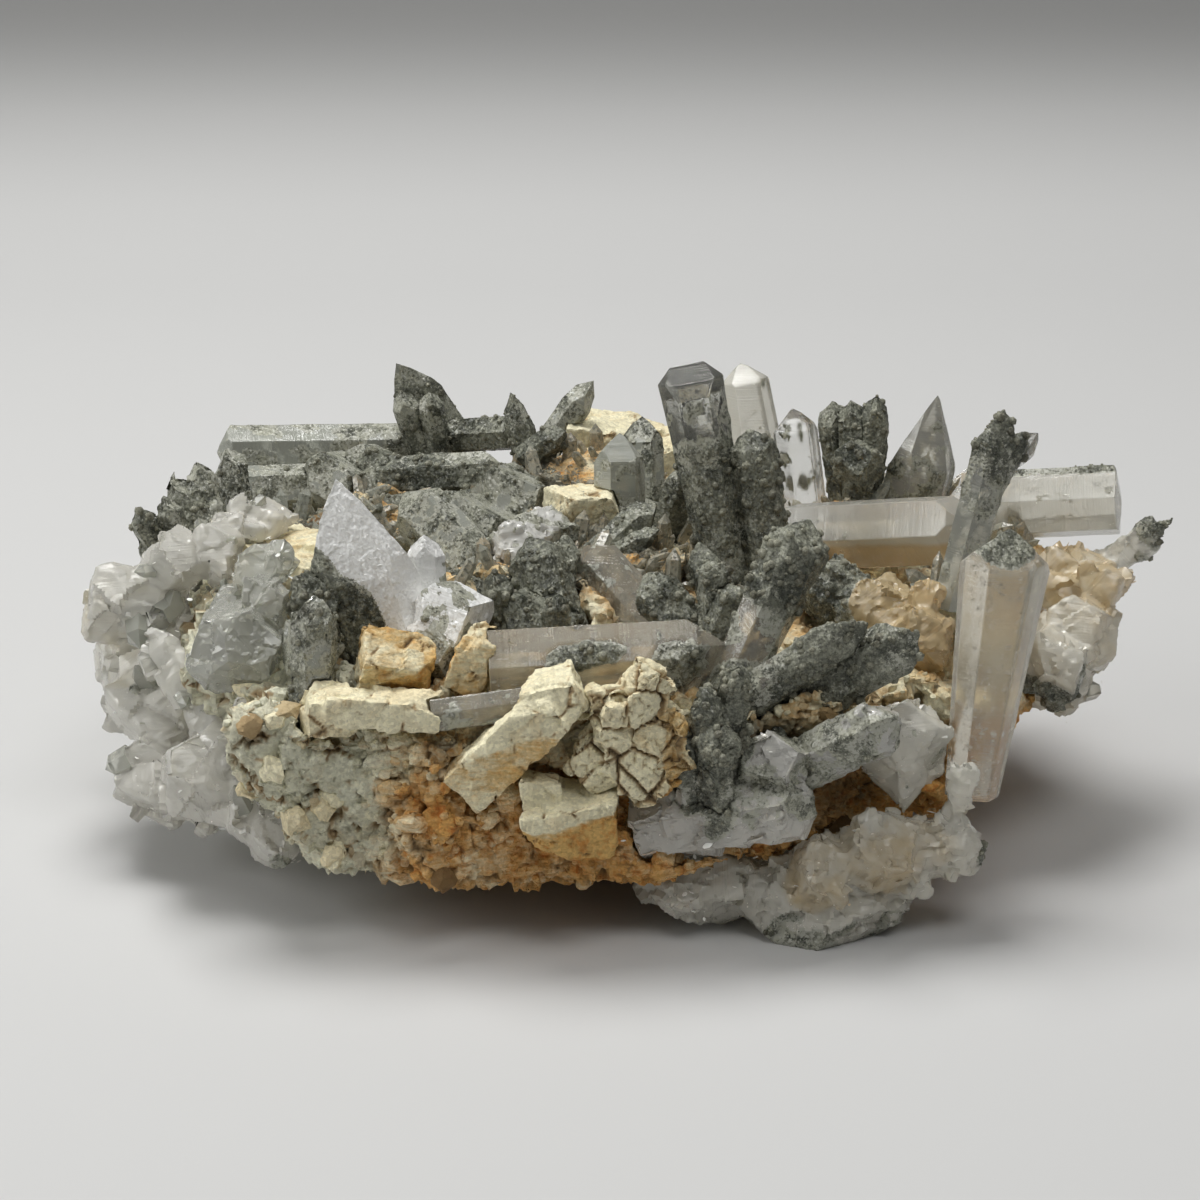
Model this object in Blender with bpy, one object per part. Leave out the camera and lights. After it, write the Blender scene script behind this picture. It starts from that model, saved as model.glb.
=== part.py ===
"""Chlorite cluster: quartz crystals, many coated with green-grey chlorite, on a slab of feldspar rock.

Metres, +Z up. The cluster stands on a flat spot under its rock at z = 0 and is centred on the origin.
+X is the end with the clear upright prism, and -Y the side that shows the broken rock face.
Places and sizes of crystals and lumps are listed in millimetres.
"""

import math
import random
from dataclasses import dataclass

import bmesh
import bpy
from mathutils import Matrix, Vector, noise
from mathutils.bvhtree import BVHTree

MM = 0.001
SOCKET_GAP = 0.3 * MM
ROUGH_SOCKET_GAP = 1.0 * MM
SLIVER = 0.03 * MM
ROCK_SLIVER = 0.003 * MM
FLOOR = (Vector((0, 0, -1)), 0.0)
GROUND_SIZE = 400 * MM

ROCK_VOXEL = 1.7 * MM
ROCK_SKIN_TRIANGLES = 1900
ROCK_TRIANGLES = 2500
ROCK_ROUGHNESS = 1.5 * MM
ROCK_ROUGHNESS_PITCH = 11 * MM
FINE_ROUGHNESS = 0.9 * MM
FINE_ROUGHNESS_PITCH = 4.8 * MM
ROCK_NOISE_SEED = 7

# Small crystals and lumps fused to the rock, in millimetres.
SMALL_SEED = 20
SMALL_CRYSTALS_ON_TOP = 16
SMALL_CRYSTAL_AREA = ((-62, 66), (-34, 52))
SMALL_CRYSTAL_ACROSS = (4, 6.5)
SMALL_CRYSTAL_RISE = (5, 9)
SMALL_CRYSTAL_DEPTH = 3
SMALL_LUMPS_ROUND_RIM = 8
RIM_ARC = (math.radians(-27), math.radians(207))
RIM_HEIGHTS = (18, 44)
RIM_LUMP_HALF = (4.5, 8)
OUTSIDE_ROCK = 110

PRISM_FACES = (30, 90, 150, 210, 270, 330)
SIX_FACED_POINT_FROM = 6.5
FLATS_OVER_CORNERS = math.cos(math.radians(30))


@dataclass(frozen=True)
class Crystal:
    """One quartz prism from its foot to its point. At turn 0 a broad prism face looks along its thin side.

    A small crystal has only the three large faces of its point, and a large one all six.
    """

    foot: tuple
    tip: tuple
    across: float
    flat: float = 0.8
    turn: float = 0.0
    point: float = 0.6
    heel: float = 1.0
    ridge: float = 0.0
    seed: int = 1

    @property
    def base(self):
        return Vector(self.foot) * MM

    @property
    def reach(self):
        return (Vector(self.tip) - Vector(self.foot)).length * MM + 2 * self.across * MM

    def axes(self):
        """Rotation that takes local X (wide), Y (thin) and Z (long) to the world."""
        along = (Vector(self.tip) - Vector(self.foot)).normalized()
        wide = along.cross(Vector((0, 1, 0)))
        if wide.length < 0.3:
            wide = along.cross(Vector((0, 0, 1)))
        wide.normalize()
        frame = Matrix((wide, along.cross(wide), along)).transposed()
        return frame @ Matrix.Rotation(math.radians(self.turn), 3, "Z")

    def planes(self):
        """(outward normal, distance from the world origin) of every face."""
        rng = random.Random(self.seed)
        length = (Vector(self.tip) - Vector(self.foot)).length * MM
        half = self.across * MM * FLATS_OVER_CORNERS / 2
        rise = self.point * self.across * MM
        lean = half * (1 - self.heel) / max(length - rise, rise)
        local = [(Vector((0, 0, -1)), 0.0)]
        for index, azimuth in enumerate(PRISM_FACES):
            c, s = math.cos(math.radians(azimuth)), math.sin(math.radians(azimuth))
            side = half * rng.uniform(0.9, 1.06)
            local.append((Vector((c, s, -lean)), side - lean * (length - rise)))
            if index % 2 and self.across < SIX_FACED_POINT_FROM:
                continue
            slope = rise / half
            if self.ridge:
                half_ridge = self.ridge * self.across * MM / 2
                lift = 0.0 if azimuth in (90, 270) else slope * abs(c) * half_ridge
            else:
                lift = (0.02 if index % 2 else 0.30) * rise * rng.uniform(0.2, 1.2)
            local.append((Vector((slope * c, slope * s, 1)), length + lift))
        frame = self.axes()
        return [world_plane(frame, self.base, Vector((n.x, n.y / self.flat, n.z)), d) for n, d in local]


@dataclass(frozen=True)
class Lump:
    """A broken, many-faced lump inside an ellipsoid. A blocky one keeps six square sides, like feldspar."""

    centre: tuple
    half: tuple
    turn: tuple = (0, 0, 0)
    faces: int = 10
    blocky: bool = False
    seed: int = 1

    @property
    def base(self):
        return Vector(self.centre) * MM

    @property
    def reach(self):
        return 2 * max(self.half) * MM

    def planes(self):
        """(outward normal, distance from the world origin) of every face."""
        rng = random.Random(self.seed)
        half = Vector(self.half) * MM
        local = self.square_faces(rng, half) if self.blocky else self.round_faces(rng, half)
        frame = turned(self.turn)
        return [world_plane(frame, self.base, n, d) for n, d in local]

    def square_faces(self, rng, half):
        """Six nearly square sides, and cuts across four of the eight corners."""
        local = []
        for axis in range(3):
            for sign in (-1, 1):
                normal = Vector([rng.uniform(-0.12, 0.12) for _ in range(3)])
                normal[axis] = sign
                local.append((normal, half[axis]))
        corners = [Vector((x, y, z)) for x in (-1, 1) for y in (-1, 1) for z in (-1, 1)]
        for corner in rng.sample(corners, 4):
            normal = Vector([c * rng.uniform(0.5, 1.5) / h for c, h in zip(corner, half)])
            support = sum(abs(n) * h for n, h in zip(normal, half))
            local.append((normal, support * rng.uniform(0.68, 0.86)))
        return local

    def round_faces(self, rng, half):
        """Faces spread evenly round the ellipsoid on a spiral, each a little in from its surface."""
        golden = math.pi * (3 - math.sqrt(5))
        local = []
        for index in range(self.faces):
            z = 1 - 2 * (index + 0.5) / self.faces
            around = golden * index + rng.uniform(-0.35, 0.35)
            level = math.sqrt(1 - z * z)
            normal = Vector((level * math.cos(around), level * math.sin(around), z))
            support = Vector([n * h for n, h in zip(normal, half)]).length
            local.append((normal, support * rng.uniform(0.82, 1.0)))
        return local


def turned(degrees):
    """Rotation by degrees about X, then Y, then Z."""
    turns = [Matrix.Rotation(math.radians(a), 3, axis) for a, axis in zip(degrees, "XYZ")]
    return turns[2] @ turns[1] @ turns[0]


def world_plane(frame, base, normal, distance):
    """A plane given by a normal of any length in a local frame, as (unit normal, distance) in the world."""
    size = normal.length
    outward = (frame @ normal) / size
    return outward, distance / size + outward.dot(base)


def convex_mesh(member, grown=0.0):
    """The convex solid inside the member's planes, all moved outwards by grown."""
    bm = bmesh.new()
    bmesh.ops.create_cube(bm, size=2 * member.reach, matrix=Matrix.Translation(member.base))
    planes = [(n, d + grown) for n, d in member.planes()]
    if not grown:
        planes.append(FLOOR)
    for normal, distance in planes:
        parts = bm.verts[:] + bm.edges[:] + bm.faces[:]
        cut = bmesh.ops.bisect_plane(
            bm, geom=parts, dist=1e-8, plane_co=normal * distance, plane_no=normal, clear_outer=True
        )
        rim = [e for e in cut["geom_cut"] if isinstance(e, bmesh.types.BMEdge)]
        if rim:
            bmesh.ops.contextual_create(bm, geom=rim)
    bmesh.ops.remove_doubles(bm, verts=bm.verts, dist=SLIVER)
    bmesh.ops.recalc_face_normals(bm, faces=bm.faces)
    return finished_mesh(bm)


def finished_mesh(bm):
    mesh = bpy.data.meshes.new("solid")
    bm.to_mesh(mesh)
    bm.free()
    return mesh


def with_modifier(mesh, kind, **settings):
    """A new mesh: the given one after a single modifier."""
    holder = bpy.data.objects.new("holder", mesh)
    bpy.context.scene.collection.objects.link(holder)
    modifier = holder.modifiers.new("step", kind)
    for name, value in settings.items():
        setattr(modifier, name, value)
    graph = bpy.context.evaluated_depsgraph_get()
    made = bpy.data.meshes.new_from_object(holder.evaluated_get(graph))
    bpy.data.objects.remove(holder)
    return made


def boolean(mesh, other, operation):
    """The two meshes united, or the first cut by the second."""
    tool = bpy.data.objects.new("tool", other)
    bpy.context.scene.collection.objects.link(tool)
    made = with_modifier(mesh, "BOOLEAN", object=tool, operation=operation, solver="EXACT")
    bpy.data.objects.remove(tool)
    return made


def joined(members):
    """The members of one piece, grown together."""
    mesh = convex_mesh(members[0])
    for member in members[1:]:
        mesh = boolean(mesh, convex_mesh(member), "UNION")
    return mesh


def box_of(mesh):
    low = Vector([min(v.co[i] for v in mesh.vertices) for i in range(3)])
    high = Vector([max(v.co[i] for v in mesh.vertices) for i in range(3)])
    return low, high


def boxes_meet(first, second):
    return all(first[0][i] < second[1][i] and second[0][i] < first[1][i] for i in range(3))


def cut_free(mesh, members, gap):
    """The mesh with a socket, one gap wider than the solid, cut for each member that it meets."""
    own = box_of(mesh)
    for member in members:
        socket = convex_mesh(member, gap)
        if boxes_meet(own, box_of(socket)):
            mesh = boolean(mesh, socket, "DIFFERENCE")
    return mesh


# Every piece but the rock: name, material, and the members that have grown together in it.
PIECES = {
    "tall_crystal_pair": (
        "chlorite_quartz",
        [
            Crystal((19, -2, 38), (10, 5, 83), 11.4, flat=0.85, point=0.5, heel=0.7, ridge=0.5, seed=3),
            Crystal((25.5, -3, 40), (20.5, 3, 72), 9.2, flat=0.85, turn=12, point=0.35, heel=0.8, seed=4),
        ],
    ),
    "clear_prism": (
        "clear_quartz",
        [Crystal((56, -33, 21), (61, -29, 65.5), 15.8, flat=0.72, turn=8, point=0.4, heel=0.62, seed=8)],
    ),
    "fin_crystal": (
        "milky_quartz",
        [
            Crystal((-38, -23, 38), (-47, -20, 71), 17.5, flat=0.45, turn=-6, point=1.05, heel=0.9, seed=2),
            Crystal((-32, -21, 44), (-33, -18, 60), 6.0, flat=0.6, seed=5),
            Lump((-29, -25, 49), (6, 5, 6), seed=4),
            Lump((-31, -28, 44), (5.5, 4.5, 5), seed=9),
            Lump((-50.5, -22, 51), (4.5, 4, 4), seed=3),
        ],
    ),
    "front_crystals": (
        "chlorite_quartz",
        [
            Crystal((-22, -34, 44), (18, -33, 46), 15.4, flat=0.8, turn=14, point=0.6, seed=11),
            Crystal((16, -36, 40), (29, -26, 66), 11.4, flat=0.72, turn=10, point=0.4, heel=0.8, seed=7),
            Crystal((14, -37, 36), (38, -38, 53), 8.6, flat=0.55, turn=10, point=0.8, seed=8),
            Crystal((26, -34, 37), (46, -38, 51), 9.4, flat=0.6, turn=-12, point=0.5, seed=5),
        ],
    ),
    "spear_crystal": (
        "chlorite_quartz",
        [
            Crystal((54, -12, 46), (61.5, -9, 79), 8.2, flat=0.8, turn=20, point=0.8, seed=6),
            Crystal((58.5, -11, 63), (65, -8, 74.5), 3.8, seed=2),
        ],
    ),
    "long_prism": (
        "clear_quartz",
        [Crystal((30, 18, 48), (60, -1, 56), 13.5, flat=0.8, turn=20, point=0.45, seed=5)],
    ),
    "block_crystal": (
        "clear_quartz",
        [Crystal((60, 31, 49), (87, 26, 52), 14.5, flat=0.8, turn=8, point=0.06, seed=12)],
    ),
    "small_broad_crystal": (
        "clear_quartz",
        [Crystal((-31, -43, 39), (-5, -41, 42), 6.6, flat=0.8, turn=10, point=0.6, seed=6)],
    ),
    "boulder_crystals": (
        "milky_quartz",
        [
            Crystal((2, -40, 19), (30, -46, 26), 14.0, flat=0.85, turn=6, point=0.3, seed=13),
            Lump((23, -43, 31), (6, 5, 4.5), seed=6),
            Crystal((25, -40, 28), (43, -46, 40), 10.6, flat=0.8, turn=5, point=0.45, seed=9),
            Crystal((16, -43, 28), (17, -44, 47), 5.6, turn=10, seed=2),
            Crystal((13, -45, 26), (12, -46, 44), 5.4, turn=-10, seed=3),
            Crystal((15, -45, 22), (14, -49, 39), 5.8, turn=20, seed=4),
            Crystal((10, -44, 24), (9, -46, 37), 4.8, seed=6),
        ],
    ),
    "lower_right_quartz": (
        "milky_quartz",
        [
            Lump((31, -38, 5), (16, 9, 7), faces=15, seed=3),
            Lump((13, -37, 8), (12, 7, 5.5), faces=13, seed=8),
            Lump((32, -43, 12), (5, 4.5, 6), seed=5),
            Lump((41, -40, 14), (8, 7, 7), faces=13, seed=2),
            Crystal((40, -37, 14), (58, -40, 15), 11.4, flat=0.85, turn=10, point=0.3, seed=4),
            Crystal((53, -38, 17), (54, -41, 30), 4.2, flat=0.8, seed=5),
        ],
    ),
    "speckled_lump": (
        "milky_quartz",
        [Lump((44.5, -33, 30), (6, 6, 9), turn=(0, 12, 0), seed=7)],
    ),
    "feldspar_bar": (
        "feldspar",
        [
            Lump((-19, -46, 35), (11, 3.5, 4.2), turn=(0, -42, 0), blocky=True, seed=3),
            Lump((-11.5, -45, 43), (4.8, 4, 3.6), turn=(0, -20, 0), blocky=True, seed=5),
        ],
    ),
    "feldspar_brick": (
        "feldspar",
        [
            Lump((-9, -46.5, 23.5), (7.4, 6, 4.2), turn=(4, -2, 3), blocky=True, seed=8),
            Lump((-13.5, -46, 27.5), (3, 4, 2.6), blocky=True, seed=2),
        ],
    ),
    "feldspar_rubble": (
        "feldspar",
        [
            Lump((2.5, -45, 43), (3.8, 3.4, 5), turn=(0, 30, 10), blocky=True, seed=4),
            Lump((-1.5, -46, 40), (3.8, 3.2, 3.4), turn=(5, 10, 20), blocky=True, seed=6),
            Lump((-5, -45, 42), (2.9, 3, 2.8), turn=(0, 0, 30), blocky=True, seed=7),
            Lump((-1, -47, 35), (3.1, 3, 3.6), turn=(0, 15, 0), blocky=True, seed=9),
            Lump((2.5, -46.5, 31), (4.6, 3.4, 4.8), turn=(0, -35, 0), blocky=True, seed=11),
            Lump((6.5, -45.5, 35.5), (3.2, 3.2, 5), turn=(0, -25, 0), blocky=True, seed=12),
            Lump((-6.5, -45.5, 33.5), (2.2, 3, 4), turn=(0, 25, 0), blocky=True, seed=13),
            Lump((-3.5, -45.5, 31), (3.2, 3, 3.6), turn=(0, 20, 0), blocky=True, seed=14),
        ],
    ),
    "feldspar_ledge": (
        "feldspar",
        [
            Lump((-39, -42, 40), (9, 4, 2.6), turn=(0, 8, 6), blocky=True, seed=3),
            Lump((-47, -41, 39), (4.5, 4, 3.4), turn=(0, 0, 15), blocky=True, seed=5),
        ],
    ),
    "tan_block_left": (
        "feldspar",
        [Lump((-37, -34, 44), (6, 4.5, 4.5), turn=(25, 10, 10), blocky=True, seed=6)],
    ),
    "tan_block_right": (
        "feldspar",
        [Lump((-24, -35, 45.5), (3.4, 4, 5), turn=(0, 28, -10), blocky=True, seed=9)],
    ),
    "feldspar_patch": (
        "feldspar",
        [
            Lump((-54, -4, 47), (9, 12, 5), turn=(-8, 6, 10), blocky=True, seed=4),
            Lump((-58, 10, 47), (6, 6, 4.5), blocky=True, seed=7),
        ],
    ),
    "middle_feldspar_knob": (
        "feldspar",
        [Lump((-8, 18, 51), (5, 5, 5.5), turn=(0, 10, 30), blocky=True, seed=3)],
    ),
    "back_feldspar_knob": (
        "feldspar",
        [
            Lump((-2, 54, 52), (9, 6, 6), turn=(0, 5, 5), blocky=True, seed=6),
            Lump((8, 52, 51), (6, 6, 5), turn=(0, -12, 20), blocky=True, seed=8),
        ],
    ),
    "left_clear_crystal": (
        "clear_quartz",
        [
            Crystal((-62, -8, 43), (-64, -33, 44.5), 17.0, flat=0.9, turn=12, point=0.28, seed=6),
            Lump((-59, -21, 50), (4, 5, 4), seed=3),
            Lump((-60, -14, 52), (4.5, 4.5, 5.5), seed=6),
            Crystal((-61, -17, 47), (-56, -16, 59), 5.0, seed=4),
        ],
    ),
    "left_quartz": (
        "milky_quartz",
        [
            Lump((-83, 3, 41), (9.5, 9, 6.5), turn=(0, -8, 0), faces=13, seed=2),
            Lump((-76, 2, 49), (6, 6, 5.6), faces=13, seed=5),
            Lump((-83, 5, 30), (7, 9, 10), seed=4),
            Lump((-78, 2, 23), (12, 13, 7), turn=(0, -6, 0), faces=13, seed=7),
            Lump((-79, -10, 15), (8, 8, 6), seed=6),
            Lump((-67, -23, 20), (11, 9, 8), turn=(0, -12, 8), faces=13, seed=3),
            Lump((-72, -16, 17), (7, 7, 6), seed=12),
            Lump((-58, -29, 16), (8, 8, 6), seed=8),
            Lump((-57, -30, 28), (6, 5.5, 8), seed=4),
            Crystal((-66, -18, 22), (-80, -8, 41), 9.0, flat=0.5, turn=-10, point=0.5, seed=9),
            Crystal((-65, -28, 24), (-62, -34, 39), 2.8, flat=0.7, turn=15, point=0.2, seed=3),
            Lump((-69, 1, 51), (4.5, 5, 5), seed=5),
            Lump((-63, 11, 52), (5.5, 5, 4.5), seed=8),
            Lump((-66, 6, 51), (5, 5, 4.5), seed=2),
        ],
    ),
    "left_rim_tips": (
        "chlorite_quartz",
        [
            Crystal((-79, 14, 43), (-83, 12, 54.5), 5.2, seed=2),
            Crystal((-76, 14, 46), (-79, 14, 56), 4.8, turn=20, seed=3),
            Crystal((-73, 17, 47), (-78, 20, 58), 6.4, seed=6),
            Crystal((-70, 22, 46), (-75, 28, 58), 5.4, turn=15, seed=7),
            Crystal((-67, 28, 44), (-70, 34, 59), 5.8, turn=-15, seed=9),
            Lump((-74, 21, 44), (8, 11, 6), seed=3),
        ],
    ),
    "left_spike": (
        "chlorite_quartz",
        [
            Crystal((-50, -36, 37), (-50, -33, 56), 7.4, flat=0.75, turn=12, point=0.6, seed=5),
            Lump((-51, -30, 46), (4, 4.5, 5.5), seed=2),
        ],
    ),
    "back_left_long_prism": (
        "chlorite_quartz",
        [Crystal((-38, 59, 51), (-74, 51, 53), 10.0, flat=0.8, turn=14, point=0.25, seed=4)],
    ),
    "back_left_near_prism": (
        "chlorite_quartz",
        [
            Crystal((-38, 47, 48), (-75, 40, 49), 9.6, flat=0.8, turn=22, point=0.3, seed=7),
            Lump((-52, 43, 50), (6.5, 5, 5), seed=4),
            Lump((-46, 45, 51), (5, 4, 4.5), seed=8),
            Crystal((-44, 43, 50.5), (-21, 40, 53), 7.6, turn=-12, point=0.5, seed=5),
        ],
    ),
    "back_blade_and_spikes": (
        "chlorite_quartz",
        [
            Crystal((-28, 54, 48), (-41, 50, 70), 9.6, flat=0.5, turn=8, point=0.9, seed=6),
            Crystal((-36, 50, 51), (-40, 48, 64.5), 5.2, seed=3),
            Crystal((-33, 49, 51), (-35, 47, 65), 4.8, turn=15, seed=4),
            Crystal((-38, 53, 55), (-18, 47, 58), 6.6, turn=10, point=0.5, seed=3),
            Crystal((-16, 46, 48), (-20, 46, 64), 5.4, turn=10, point=1.3, seed=3),
            Crystal((-17, 49, 50), (-6, 52, 65.5), 5.8, flat=0.7, point=0.9, seed=4),
            Crystal((-18, 44, 54), (-11, 41, 60), 5.6, seed=7),
        ],
    ),
    "back_dark_prism": (
        "chlorite_quartz",
        [Crystal((-44, 35, 47), (-24, 32, 49.5), 6.4, turn=20, point=0.6, seed=8)],
    ),
    "middle_tall_crystals": (
        "chlorite_quartz",
        [
            Crystal((-1, 19, 42), (-1, 24, 65), 9.4, flat=0.8, turn=12, point=0.55, seed=8),
            Crystal((4, 28, 44), (3, 34, 65), 7.4, turn=-10, point=0.6, seed=5),
            Crystal((6, 19, 44), (11, 16, 62), 7.0, turn=20, point=0.5, seed=6),
            Lump((3, 22, 47), (7, 9, 5), seed=4),
        ],
    ),
    "middle_left_crystal": (
        "chlorite_quartz",
        [
            Crystal((-26, 6, 47), (-38, 15, 57), 10.8, flat=0.8, turn=10, point=0.4, seed=3),
            Lump((-20, 25, 52), (6.5, 6, 5.5), seed=5),
            Lump((-27, 16, 50), (8, 7, 5), seed=6),
        ],
    ),
    "middle_sugar_lumps": (
        "milky_quartz",
        [
            Lump((-18, 2, 52), (5, 4.5, 4.6), seed=4),
            Lump((-14, 7, 52.5), (5, 5, 4.6), seed=7),
        ],
    ),
    "front_coated_group": (
        "chlorite_quartz",
        [
            Lump((-15, -17, 44), (8, 6, 4.5), seed=5),
            Crystal((-10, -17, 40), (-16, -8, 57), 9.8, flat=0.8, turn=8, point=0.45, seed=4),
            Crystal((-14, -13, 42), (-10, -5, 56), 7.2, turn=20, point=0.5, seed=6),
            Crystal((-19, -19, 42), (-22, -20, 54.5), 6.0, point=0.7, seed=7),
            Crystal((-32, -6, 48), (-16, -16, 46.5), 7.0, turn=15, seed=8),
            Crystal((-12, -22, 42), (-11, -23, 52), 4.6, point=0.7, seed=9),
        ],
    ),
    "brown_tinted_crystal": (
        "clear_quartz",
        [Crystal((6, -17, 43), (-7, -4, 54), 8.4, flat=0.7, turn=24, point=0.45, seed=3)],
    ),
    "middle_needles": (
        "chlorite_quartz",
        [
            Crystal((-9, 2, 46), (4.5, 10, 56), 6.4, turn=8, point=0.7, seed=5),
            Crystal((-7, 1, 47), (5, 4, 53.5), 4.6, flat=0.7, point=1.0, seed=6),
        ],
    ),
    "sparkling_crystals": (
        "chlorite_quartz",
        [
            Crystal((13, -25, 41), (3, -18, 54), 7.8, flat=0.75, turn=10, point=0.5, seed=2),
            Crystal((14, -25, 41), (14, -23, 57.5), 5.2, point=0.3, seed=3),
            Crystal((14, -26, 45), (18, -25, 54), 6.0, point=0.3, seed=5),
        ],
    ),
    "rear_spire": (
        "chlorite_quartz",
        [Crystal((17, -12, 40), (12, -6, 55.5), 6.6, turn=-14, point=0.8, seed=8)],
    ),
    "back_pale_crystal": (
        "clear_quartz",
        [Crystal((25, 48, 46), (21, 54, 69), 10.0, flat=0.8, turn=10, point=0.4, heel=1.15, seed=7)],
    ),
    "back_right_clear_crystal": (
        "clear_quartz",
        [Crystal((33, 42, 41), (30, 44, 63.5), 9.0, turn=14, point=0.5, seed=9)],
    ),
    "back_right_coated_tips": (
        "chlorite_quartz",
        [
            Crystal((40, 38, 47), (37, 39, 65.5), 6.4, turn=10, seed=4),
            Crystal((42, 34, 47), (40, 37, 66), 5.8, turn=-10, seed=5),
            Crystal((43, 35, 50), (44.5, 35, 67.5), 5.0, point=0.9, seed=6),
            Lump((41, 32, 57), (4.2, 3.6, 4), seed=7),
        ],
    ),
    "back_right_pyramid": (
        "clear_quartz",
        [Crystal((51, 36, 45), (55, 35, 68.5), 12.6, flat=0.75, turn=12, point=1.1, seed=3)],
    ),
    "back_right_blade": (
        "clear_quartz",
        [Crystal((56, 45, 43), (75, 50, 57), 7.0, flat=0.7, turn=10, point=0.6, seed=4)],
    ),
    "right_stained_quartz": (
        "milky_quartz",
        [
            Lump((77, 16, 41), (8, 8, 6.5), faces=13, seed=4),
            Lump((77, 4, 35), (7, 7, 7), faces=13, seed=6),
            Lump((81, 9, 42), (4.5, 4.5, 4), seed=8),
            Lump((72, -5, 33), (6, 7, 5.5), seed=5),
            Lump((72, 8, 28), (9, 10, 7), faces=13, seed=9),
            Crystal((79, 21, 38), (94, 18, 51), 6.4, flat=0.6, turn=15, point=0.9, seed=3),
        ],
    ),
    "right_coated_wall": (
        "chlorite_quartz",
        [
            Lump((42, -11, 44), (8, 6, 6), faces=13, seed=3),
            Lump((49, -19, 43), (5, 5.5, 5), seed=5),
            Lump((35, -8, 47), (6, 5, 5.5), seed=7),
            Lump((49, -16, 49), (2.6, 2.6, 3), seed=8),
        ],
    ),
}

# What the rock is built up from, and what is hollowed out of it, before its surface is roughened.
ROCK_LUMPS = [
    Lump((0, 8, 28), (66, 42, 19), faces=40, seed=2),
    Lump((-42, 30, 33), (30, 26, 16), faces=24, seed=3),
    Lump((42, 26, 33), (34, 26, 16), faces=24, seed=4),
    Lump((0, 40, 35), (44, 18, 14), faces=24, seed=5),
    Lump((-60, 2, 32), (17, 26, 16), faces=20, seed=6),
    Lump((50, -2, 31), (19, 22, 13), faces=20, seed=7),
    Lump((-44, -24, 27), (17, 19, 15), blocky=True, seed=8),
    Lump((-46, -34, 22), (9, 9, 8), turn=(0, 10, 20), blocky=True, seed=18),
    Lump((-33, -38, 29), (8, 7, 10), turn=(0, 15, -10), blocky=True, seed=19),
    Lump((-22, -27, 26), (18, 17, 16), blocky=True, seed=9),
    Lump((-22, -37, 18), (14, 9, 7), turn=(0, 5, 5), blocky=True, seed=20),
    Lump((2, -27, 25), (18, 17, 16), blocky=True, seed=10),
    Lump((2, -37, 16), (15, 8, 5), turn=(0, -6, 0), blocky=True, seed=21),
    Lump((22, -22, 27), (14, 17, 15), blocky=True, seed=11),
    Lump((-8, 12, 10), (44, 30, 17), faces=26, seed=12),
    Lump((28, -22, 8), (22, 18, 13), faces=20, seed=13),
    Lump((36, 10, 17), (24, 24, 14), faces=20, seed=14),
    Lump((55, -8, 40), (11, 9, 8), seed=15),
    Lump((62, 28, 38), (15, 14, 9), seed=16),
    Lump((47, -24, 28), (11, 10, 12), seed=17),
    Lump((-67, 20, 37), (14, 16, 11), seed=22),
    Lump((-46, 50, 41), (18, 11, 9), seed=23),
    Lump((55, 44, 39), (12, 9, 8), seed=24),
]
ROCK_HOLLOWS = [
    Lump((38, -44, 25), (7, 12, 6.5), seed=3),
    Lump((22, -46, 33), (5.5, 9, 5), seed=4),
    Lump((-3, -50, 37), (2.2, 5, 7), turn=(0, 20, 0), seed=5),
    Lump((-29, -49, 36), (5, 5, 3), turn=(0, -10, 0), seed=7),
    Lump((9, -6, 51), (9, 8, 4), seed=6),
    Lump((-53, 25, 52), (9, 7, 4), seed=8),
]

FINISHES = {
    "host_rock": ((0.44, 0.27, 0.11, 1.0), 0.9, 0.0),
    "feldspar": ((0.62, 0.55, 0.37, 1.0), 0.8, 0.0),
    "milky_quartz": ((0.66, 0.65, 0.60, 1.0), 0.35, 0.3),
    "clear_quartz": ((0.72, 0.72, 0.68, 1.0), 0.12, 0.7),
    "chlorite_quartz": ((0.12, 0.14, 0.12, 1.0), 0.7, 0.0),
}


def thinned(mesh, triangles):
    """The mesh with its flattest corners taken out until about that many triangles are left."""
    corners = sum(len(face.vertices) - 2 for face in mesh.polygons)
    return with_modifier(mesh, "DECIMATE", ratio=min(1.0, triangles / corners))


def ground():
    """A block whose top is z = 0, wider than the rock."""
    bm = bmesh.new()
    bmesh.ops.create_cube(bm, size=GROUND_SIZE, matrix=Matrix.Translation((0, 0, -GROUND_SIZE / 2)))
    return finished_mesh(bm)


def rock_body():
    """The rock before anything is set in it: lumps merged into one skin, hollowed, roughened and thinned."""
    bm = bmesh.new()
    for lump in ROCK_LUMPS:
        bm.from_mesh(convex_mesh(lump))
    mesh = with_modifier(finished_mesh(bm), "REMESH", mode="VOXEL", voxel_size=ROCK_VOXEL)
    for hollow in ROCK_HOLLOWS:
        mesh = boolean(mesh, convex_mesh(hollow), "DIFFERENCE")
    mesh = with_modifier(mesh, "REMESH", mode="VOXEL", voxel_size=ROCK_VOXEL)
    noise.seed_set(ROCK_NOISE_SEED)
    for vertex in mesh.vertices:
        push = ROCK_ROUGHNESS * noise.noise_vector(vertex.co / ROCK_ROUGHNESS_PITCH)
        push += FINE_ROUGHNESS * noise.noise_vector(vertex.co / FINE_ROUGHNESS_PITCH)
        vertex.co += push
    return thinned(mesh, ROCK_SKIN_TRIANGLES)


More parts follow.
